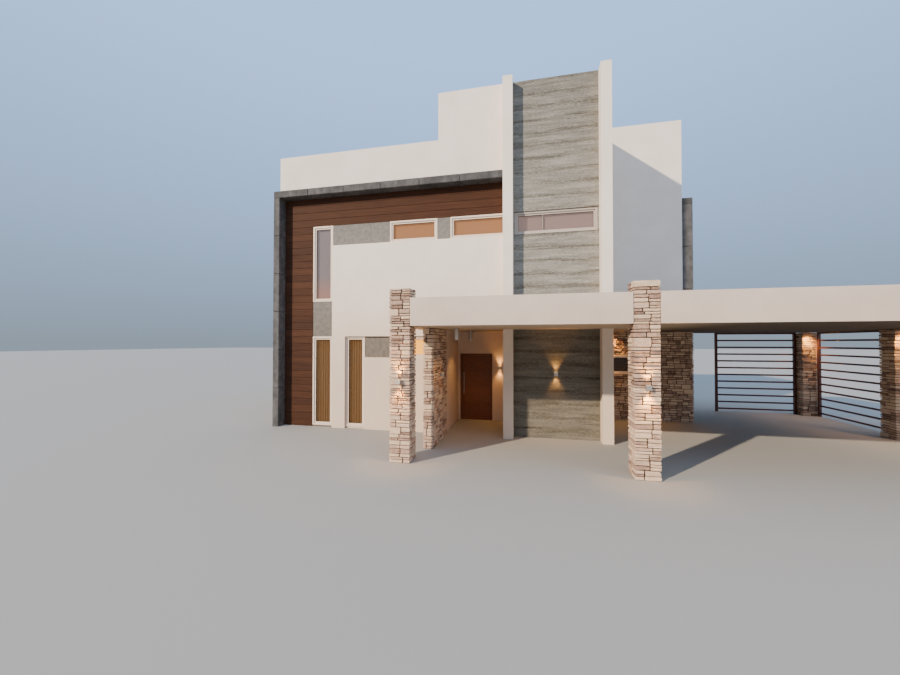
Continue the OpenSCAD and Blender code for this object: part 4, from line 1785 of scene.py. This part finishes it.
@dataclass
class Lamps:
    """Up and down wall lights, hanging and flush ceiling lights, and their warm light."""

    shapes: Shapes
    wall: float = 0.006
    mouth: float = 0.03
    flush_wall: float = 0.01
    flush_mouth: float = 0.01
    forward: float = 0.03
    clear: float = 0.004
    lens: float = 0.004
    box_size: Point = (0.1, 0.09, 0.1)
    box_rim: Point = (0.02, 0.02, 0.04)
    tube_size: Span = (0.12, 0.31)
    tube_rim: float = 0.05
    rose_size: Span = (0.11, 0.02)
    rose_rim: float = 0.008
    lens_width: float = 0.1
    smooth_up_to: float = 40.0
    wall_powers: tuple[float, ...] = (74.0, 2.5, 23.0, 34.0, 76.0)
    ceiling_power: float = 44.0
    flush_power: float = 145.0
    wall_cone: float = 84.0
    ceiling_cone: float = 110.0
    soft_edge: float = 0.85
    source: float = 0.03
    warm: Point = (1.0, 0.5, 0.13)

    def build(self) -> None:
        """Builds the three kinds of lamp at the CAD places."""
        lenses = Joined()
        self.on_walls(lenses)
        self.on_ceilings(lenses)
        lenses.piece("lamp_lenses", LENS, "lamp_metal")

    def on_walls(self, lenses: Joined) -> None:
        """Builds the wall lights, which shine up and down.

        Args:
            lenses: what gathers the lenses.
        """
        box_lamp = self.square_tube()
        bodies = Joined()
        rim = self.wall + MM
        for i, (low, high) in enumerate(loose_boxes("wall_lights")):
            bodies.add(box_lamp, low, high)
            x, y, _ = (low + high) / 2
            if high[0] - low[0] > high[1] - low[1]:
                y -= self.forward
            else:
                x += self.forward
            for z, aim in ((high[2] - self.mouth, 1.0), (low[2] + self.mouth, -1.0)):
                half = self.lens / 2
                lens_low = (low[0] + rim, low[1] + rim, z - half)
                lenses.add(self.shapes.bar, lens_low, (high[0] - rim, high[1] - rim, z + half))
                spot = (x, y, z + aim * (self.mouth + self.clear))
                name = f"wall_lamp_{i}_{'up' if aim > 0 else 'down'}"
                self.light(name, spot, aim, self.wall_powers[i], self.wall_cone)
        bodies.piece("wall_light_bodies", LAMP, "lamp_metal", "wall_lights")

    def on_ceilings(self, lenses: Joined) -> None:
        """Builds the hanging tubes and the flush lights on the soffit.

        Args:
            lenses: what gathers the lenses.
        """
        tube = self.round_tube("tube", self.tube_size, self.wall, self.mouth, self.tube_rim)
        rose = self.round_tube(
            "rose", self.rose_size, self.flush_wall, self.flush_mouth, self.rose_rim
        )
        disc = self.round_disc()
        bodies = Joined()
        for i, (low, high) in enumerate(loose_boxes("ceiling_lights")):
            hangs = high[2] - low[2] > self.tube_size[1] / 2
            bodies.add(tube if hangs else rose, low, high)
            rim = (self.wall if hangs else self.flush_wall) + MM
            z = low[2] + (self.mouth if hangs else self.flush_mouth)
            lens_low = (low[0] + rim, low[1] + rim, z - self.lens / 2)
            lenses.add(disc, lens_low, (high[0] - rim, high[1] - rim, z + MM))
            x, y, _ = (low + high) / 2
            power = self.ceiling_power if hangs else self.flush_power
            spot = (x, y, low[2] - self.clear)
            self.light(f"ceiling_lamp_{i}", spot, -1.0, power, self.ceiling_cone)
        smooth = self.smooth_up_to
        bodies.piece("ceiling_light_bodies", LAMP, "lamp_metal", "ceiling_lights", smooth=smooth)

    def square_tube(self) -> Shape:
        """Models a square lamp body, hollowed from its top and its bottom.

        Returns:
            The shape.
        """
        piece = start_block("lamp", self.box_size)
        with editing(piece):
            for sign in (1.0, -1.0):
                pick_faces(piece, lambda centre, normal: normal.z * sign > STRAIGHT)
                self.hollow(self.wall, -sign * self.mouth)
        bevel_all(piece, MM, 2)
        return Shape.taken_from(piece, self.box_rim)

    @staticmethod
    def hollow(wall: float, travel: float) -> None:
        """Hollows a lamp body from the picked face.

        Args:
            wall: the thickness that is left round the mouth.
            travel: how far up the mouth's floor goes, or down where it is negative.
        """
        bpy.ops.mesh.inset(thickness=wall, depth=0.0)
        move = {"value": (0.0, 0.0, travel)}
        bpy.ops.mesh.extrude_region_move(TRANSFORM_OT_translate=move)

    def round_tube(self, name: str, size: Span, wall: float, mouth: float, rim: float) -> Shape:
        """Models a round lamp body, hollowed from below.

        Args:
            name: what to call it while it is modelled.
            size: its diameter and height.
            wall: the thickness round its mouth.
            mouth: how deep the mouth is.
            rim: how far in from its ends the form keeps its size when it is fitted.

        Returns:
            The shape.
        """
        piece = start_round(name, *size)
        with editing(piece):
            pick_faces(piece, lambda centre, normal: normal.z < -STRAIGHT)
            self.hollow(wall, mouth)
        bevel_all(piece, MM, 2)
        return Shape.taken_from(piece, (MM, MM, rim))

    def round_disc(self) -> Shape:
        """Models a thin round lens, slightly domed at its edge.

        Returns:
            The shape.
        """
        piece = start_round("disc", self.lens_width, self.lens)
        bevel_all(piece, MM, 2)
        return Shape.taken_from(piece, (MM, MM, MM))

    def light(self, name: str, place: Point, aim: float, power: float, cone: float) -> None:
        """Adds one warm spot.

        Args:
            name: the light's name.
            place: where it is.
            aim: above 0 to shine straight up, otherwise straight down.
            power: its power in watts.
            cone: how wide it shines, in degrees.
        """
        lamp = bpy.data.lights.new(name, "SPOT")
        lamp.energy = power
        lamp.color = self.warm
        lamp.spot_size = math.radians(cone)
        lamp.spot_blend = self.soft_edge
        lamp.shadow_soft_size = self.source
        holder = bpy.data.objects.new(name, lamp)
        holder.location = place
        holder.rotation_euler = (math.pi if aim > 0 else 0.0, 0.0, 0.0)
        bpy.context.scene.collection.objects.link(holder)


@dataclass
class Screens:
    """Slatted carport screens, made of bars with eased edges."""

    shapes: Shapes

    def build(self) -> None:
        """Rebuilds each screen from the corners of its CAD node."""
        back, sides = Joined(), Joined()
        xs, ys, zs = corners("back_screen")
        self.panel(back, (xs[0], xs[1], xs[-2], xs[-1]), (ys[0], ys[1], ys[-2], ys[-1]), zs)
        back.piece("back_screen_bars", SCREEN, "screen_paint", "back_screen")
        xs, _, zs = corners("side_screens")
        post = xs[-1] - xs[0]
        for low, high in loose_boxes("side_screens"):
            run = (low[1], low[1] + post, high[1] - post, high[1])
            self.panel(sides, run, (xs[0], xs[1], xs[-2], xs[-1]), zs, turned=True)
        sides.piece("side_screen_bars", SCREEN, "screen_paint", "side_screens")

    def panel(
        self, out: Joined, run: Corner, deep: Corner, levels: Corner, turned: bool = False
    ) -> None:
        """Adds one panel's posts and rails.

        Args:
            out: what gathers the bars.
            run: the outer and inner edges of its two posts, in order along it.
            deep: the faces of the posts and of the rails, in order across it.
            levels: the heights of its ends and of its rails' edges.
            turned: whether it runs along y.
        """
        upright = ((deep[0], deep[3]), (levels[0], levels[-1]))
        bars = [((run[0], run[1]), *upright), ((run[2], run[3]), *upright)]
        for rail in zip(levels[1::2], levels[2::2]):
            bars.append(((run[1], run[2]), (deep[1], deep[2]), rail))
        for along, across, up in bars:
            x, y = (across, along) if turned else (along, across)
            out.add(self.shapes.bar, *zip(x, y, up))


@dataclass
class RoofCovering:
    """Lapped roofing membrane on the flat roofs."""

    shapes: Shapes
    width: float = 1.0
    lap: float = 0.08
    thick: float = 0.004

    def build(self) -> None:
        """Covers the canopy, the terrace and the top roof."""
        cover = Joined()
        (x0, y0, _), (x1, y1, top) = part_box("canopy_slab")
        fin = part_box("left_fin")[0]
        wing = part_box("right_front_wall")
        frame_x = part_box("side_concrete_frame")[1][0]
        self.strips(cover, (x0, x1), (y0, fin[1]), top)
        self.strips(cover, (wing[0][0], x1), (fin[1], wing[0][1]), top)
        self.strips(cover, (frame_x, x1), (wing[0][1], y1), top)
        low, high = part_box("roof_terrace_slab")
        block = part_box("top_left_wall")[0][0]
        self.strips(cover, (low[0], block), (low[1], high[1]), high[2])
        low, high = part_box("top_roof_slab")
        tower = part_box("right_fin")[0][0]
        self.strips(cover, (low[0], tower), (low[1], high[1]), high[2])
        self.strips(cover, (tower, high[0]), (wing[1][1], high[1]), high[2])
        cover.piece("roof_membrane", MEMBRANE, "floor_concrete")

    def strips(self, out: Joined, along: Span, deep: Span, top: float) -> None:
        """Covers one rectangle with strips that lap one over the next.

        Args:
            out: what gathers the strips.
            along: the rectangle's left and right edges.
            deep: its front and back edges.
            top: the height of the roof under it.
        """
        rng = random.Random(int(along[0] * 100))
        count = max(1, math.ceil((along[1] - along[0]) / self.width))
        for i, (start, end) in enumerate(parts_of(*along, count, -self.lap)):
            base = top + self.thick * (i % 2)
            high = (end, deep[1], base + self.thick)
            out.add(self.shapes.lap, (start, deep[0], base), high, None, rng.random())


def paint_node(node: str, finish: Finish) -> None:
    """Gives a CAD node that stays in view its finish.

    Args:
        node: the node's name.
        finish: its finish.
    """
    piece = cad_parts[node]
    made = finish.material()
    if piece.data.materials:
        for place in piece.material_slots:
            place.material = made
    else:
        piece.data.materials.append(made)
    LOG.info("%s: CAD shape in %s", node, finish.name)


@dataclass
class Shell:
    """The CAD nodes that stay as they are, and only take a finish."""

    white: tuple[str, ...] = (
        "front_wall", "front_parapet", "left_wall", "left_parapet", "back_wall",
        "back_parapet", "top_front_wall", "top_left_wall", "top_back_wall",
        "right_front_wall", "right_wall", "left_fin", "right_fin", "recess_left_wall",
        "recess_right_wall", "door_side_walls", "door_head_wall", "white_panel",
    )
    # the nodes that take the soffit render with its painted shade
    soffits_with_painted_shade: tuple[str, ...] = ("canopy_slab", "canopy_fascia", "upper_floor_slab")
    floors: tuple[str, ...] = ("ground_floor_slab", "roof_terrace_slab", "top_roof_slab")

    def build(self) -> None:
        """Paints every node of the shell."""
        for finish, nodes in (
            (WHITE, self.white),
            (SHADED_SOFFIT, self.soffits_with_painted_shade),
            (FLOOR_CONCRETE, self.floors),
            (GREY, ("grey_render",)),
            (BOARD_CONCRETE, ("tower_concrete_wall",)),
        ):
            for node in nodes:
                paint_node(node, finish)


@dataclass
class Studio:
    """Pale floor, soft light and the photograph's camera."""

    focal_px: float = 366.0
    picture_px: float = 900.0
    sensor_mm: float = 36.0
    far_end: float = 1000.0
    horizon_px: float = 5.18
    yaw_px: float = 78.0
    eye: Point = (-1.195, -13.965, 2.7)
    floor_half: float = 160.0
    floor_tint: str = "#989389"
    floor_roughness: float = 0.9
    sun_travel: Point = (0.9, 1.0, -0.69)
    sun_strength: float = 6.75
    sun_colour: Point = (1.0, 0.84, 0.66)
    sun_spread: float = 1.2
    fill_travel: Point = (-1.0, 0.25, -0.9)
    fill_strength: float = 0.95
    fill_colour: Point = (0.95, 0.96, 1.0)
    fill_spread: float = 80.0
    sky: Stops = ((0.0, "#76828E"), (0.62, "#9FC5F8"))
    sky_strength: float = 1.65

    def build(self) -> None:
        """Sets up the floor, the lights and the camera."""
        self.floor()
        self.far_light(
            "key", self.sun_travel, self.sun_strength, self.sun_colour, self.sun_spread
        )
        self.far_light(
            "fill", self.fill_travel, self.fill_strength, self.fill_colour, self.fill_spread
        )
        self.backdrop()
        self.camera()

    def floor(self) -> None:
        """Lays the pale floor that the house stands on."""
        clear_selection()
        bpy.ops.mesh.primitive_grid_add(
            x_subdivisions=4, y_subdivisions=4, size=2 * self.floor_half, location=(0.0, 0.0, -MM)
        )
        ground = bpy.context.object
        ground.name = "studio_floor"
        made = bpy.data.materials.new("pale_studio_floor")
        made.use_nodes = True
        shader = made.node_tree.nodes["Principled BSDF"]
        shader.inputs["Base Color"].default_value = to_linear(self.floor_tint)
        shader.inputs["Roughness"].default_value = self.floor_roughness
        ground.data.materials.append(made)

    def backdrop(self) -> None:
        """Lights the house from all round with a sky that is paler and bluer higher up."""
        world = bpy.data.worlds.new("studio")
        world.use_nodes = True
        tree = world.node_tree
        way = add_node(tree, Kind.PLACE, out="Generated")
        height = add_node(tree, Kind.SPLIT, None, {"Vector": way}, "Z")
        shades = add_node(tree, Kind.RAMP, {"stops": self.sky}, {"Fac": height})
        back = tree.nodes["Background"]
        tree.links.new(shades, back.inputs["Color"])
        back.inputs["Strength"].default_value = self.sky_strength
        bpy.context.scene.world = world

    @staticmethod
    def far_light(
        name: str, travel: Point, strength: float, colour: Point, spread: float
    ) -> None:
        """Adds a light from far off.

        Args:
            name: the light's name.
            travel: the way that its light goes.
            strength: its strength.
            colour: its colour in linear light.
            spread: how wide it looks, in degrees; wide ones cast soft shadows.
        """
        sun = bpy.data.lights.new(name, "SUN")
        sun.energy = strength
        sun.color = colour
        sun.angle = math.radians(spread)
        holder = bpy.data.objects.new(name, sun)
        x, y, z = travel
        tilt = math.atan2(math.hypot(x, y), -z)
        holder.rotation_euler = (tilt, 0.0, math.atan2(y, x) - math.pi / 2)
        bpy.context.scene.collection.objects.link(holder)

    def camera(self) -> None:
        """Places the camera where the photograph was taken from."""
        made = bpy.data.cameras.new("camera")
        made.sensor_width = self.sensor_mm
        made.lens = made.sensor_width * self.focal_px / self.picture_px
        made.clip_end = self.far_end
        holder = bpy.data.objects.new("camera", made)
        holder.location = self.eye
        rise, turn = (math.atan(px / self.focal_px) for px in (self.horizon_px, self.yaw_px))
        holder.rotation_euler = (math.pi / 2 + rise, 0.0, turn)
        bpy.context.scene.collection.objects.link(holder)
        bpy.context.scene.camera = holder


def hole_in(node: str) -> Box:
    """Returns the window opening of a wall node that has just one."""
    xs, ys, zs = corners(node)
    return np.array([xs[1], ys[0], zs[1]]), np.array([xs[2], ys[-1], zs[2]])


def main() -> None:
    """Builds the studio, then every part of the house in order."""
    logging.basicConfig(level=logging.INFO, format="%(name)s: %(message)s")
    Studio().build()
    shapes = Shapes()
    Shell().build()
    piers = ("left_pier", "middle_pier", "right_pier", "side_pier", "corner_pier")
    for seed, node in enumerate(piers, start=1):
        Stonework(shapes, node, seed=seed).build()
    wing_sides = (Side.FRONT, Side.RIGHT, Side.LEFT)
    Stonework(shapes, "stone_wing_wall", wing_sides, seed=11).build()
    holes = [hole_in("stone_wall")]
    Stonework(shapes, "stone_wall", (Side.FRONT, Side.RIGHT), seed=12, holes=holes).build()
    for part in (Timber, CastFrames, TowerFace, Windows, EntranceDoor, Lamps, Screens, RoofCovering):
        part(shapes).build()


if __name__ == "__main__":
    main()
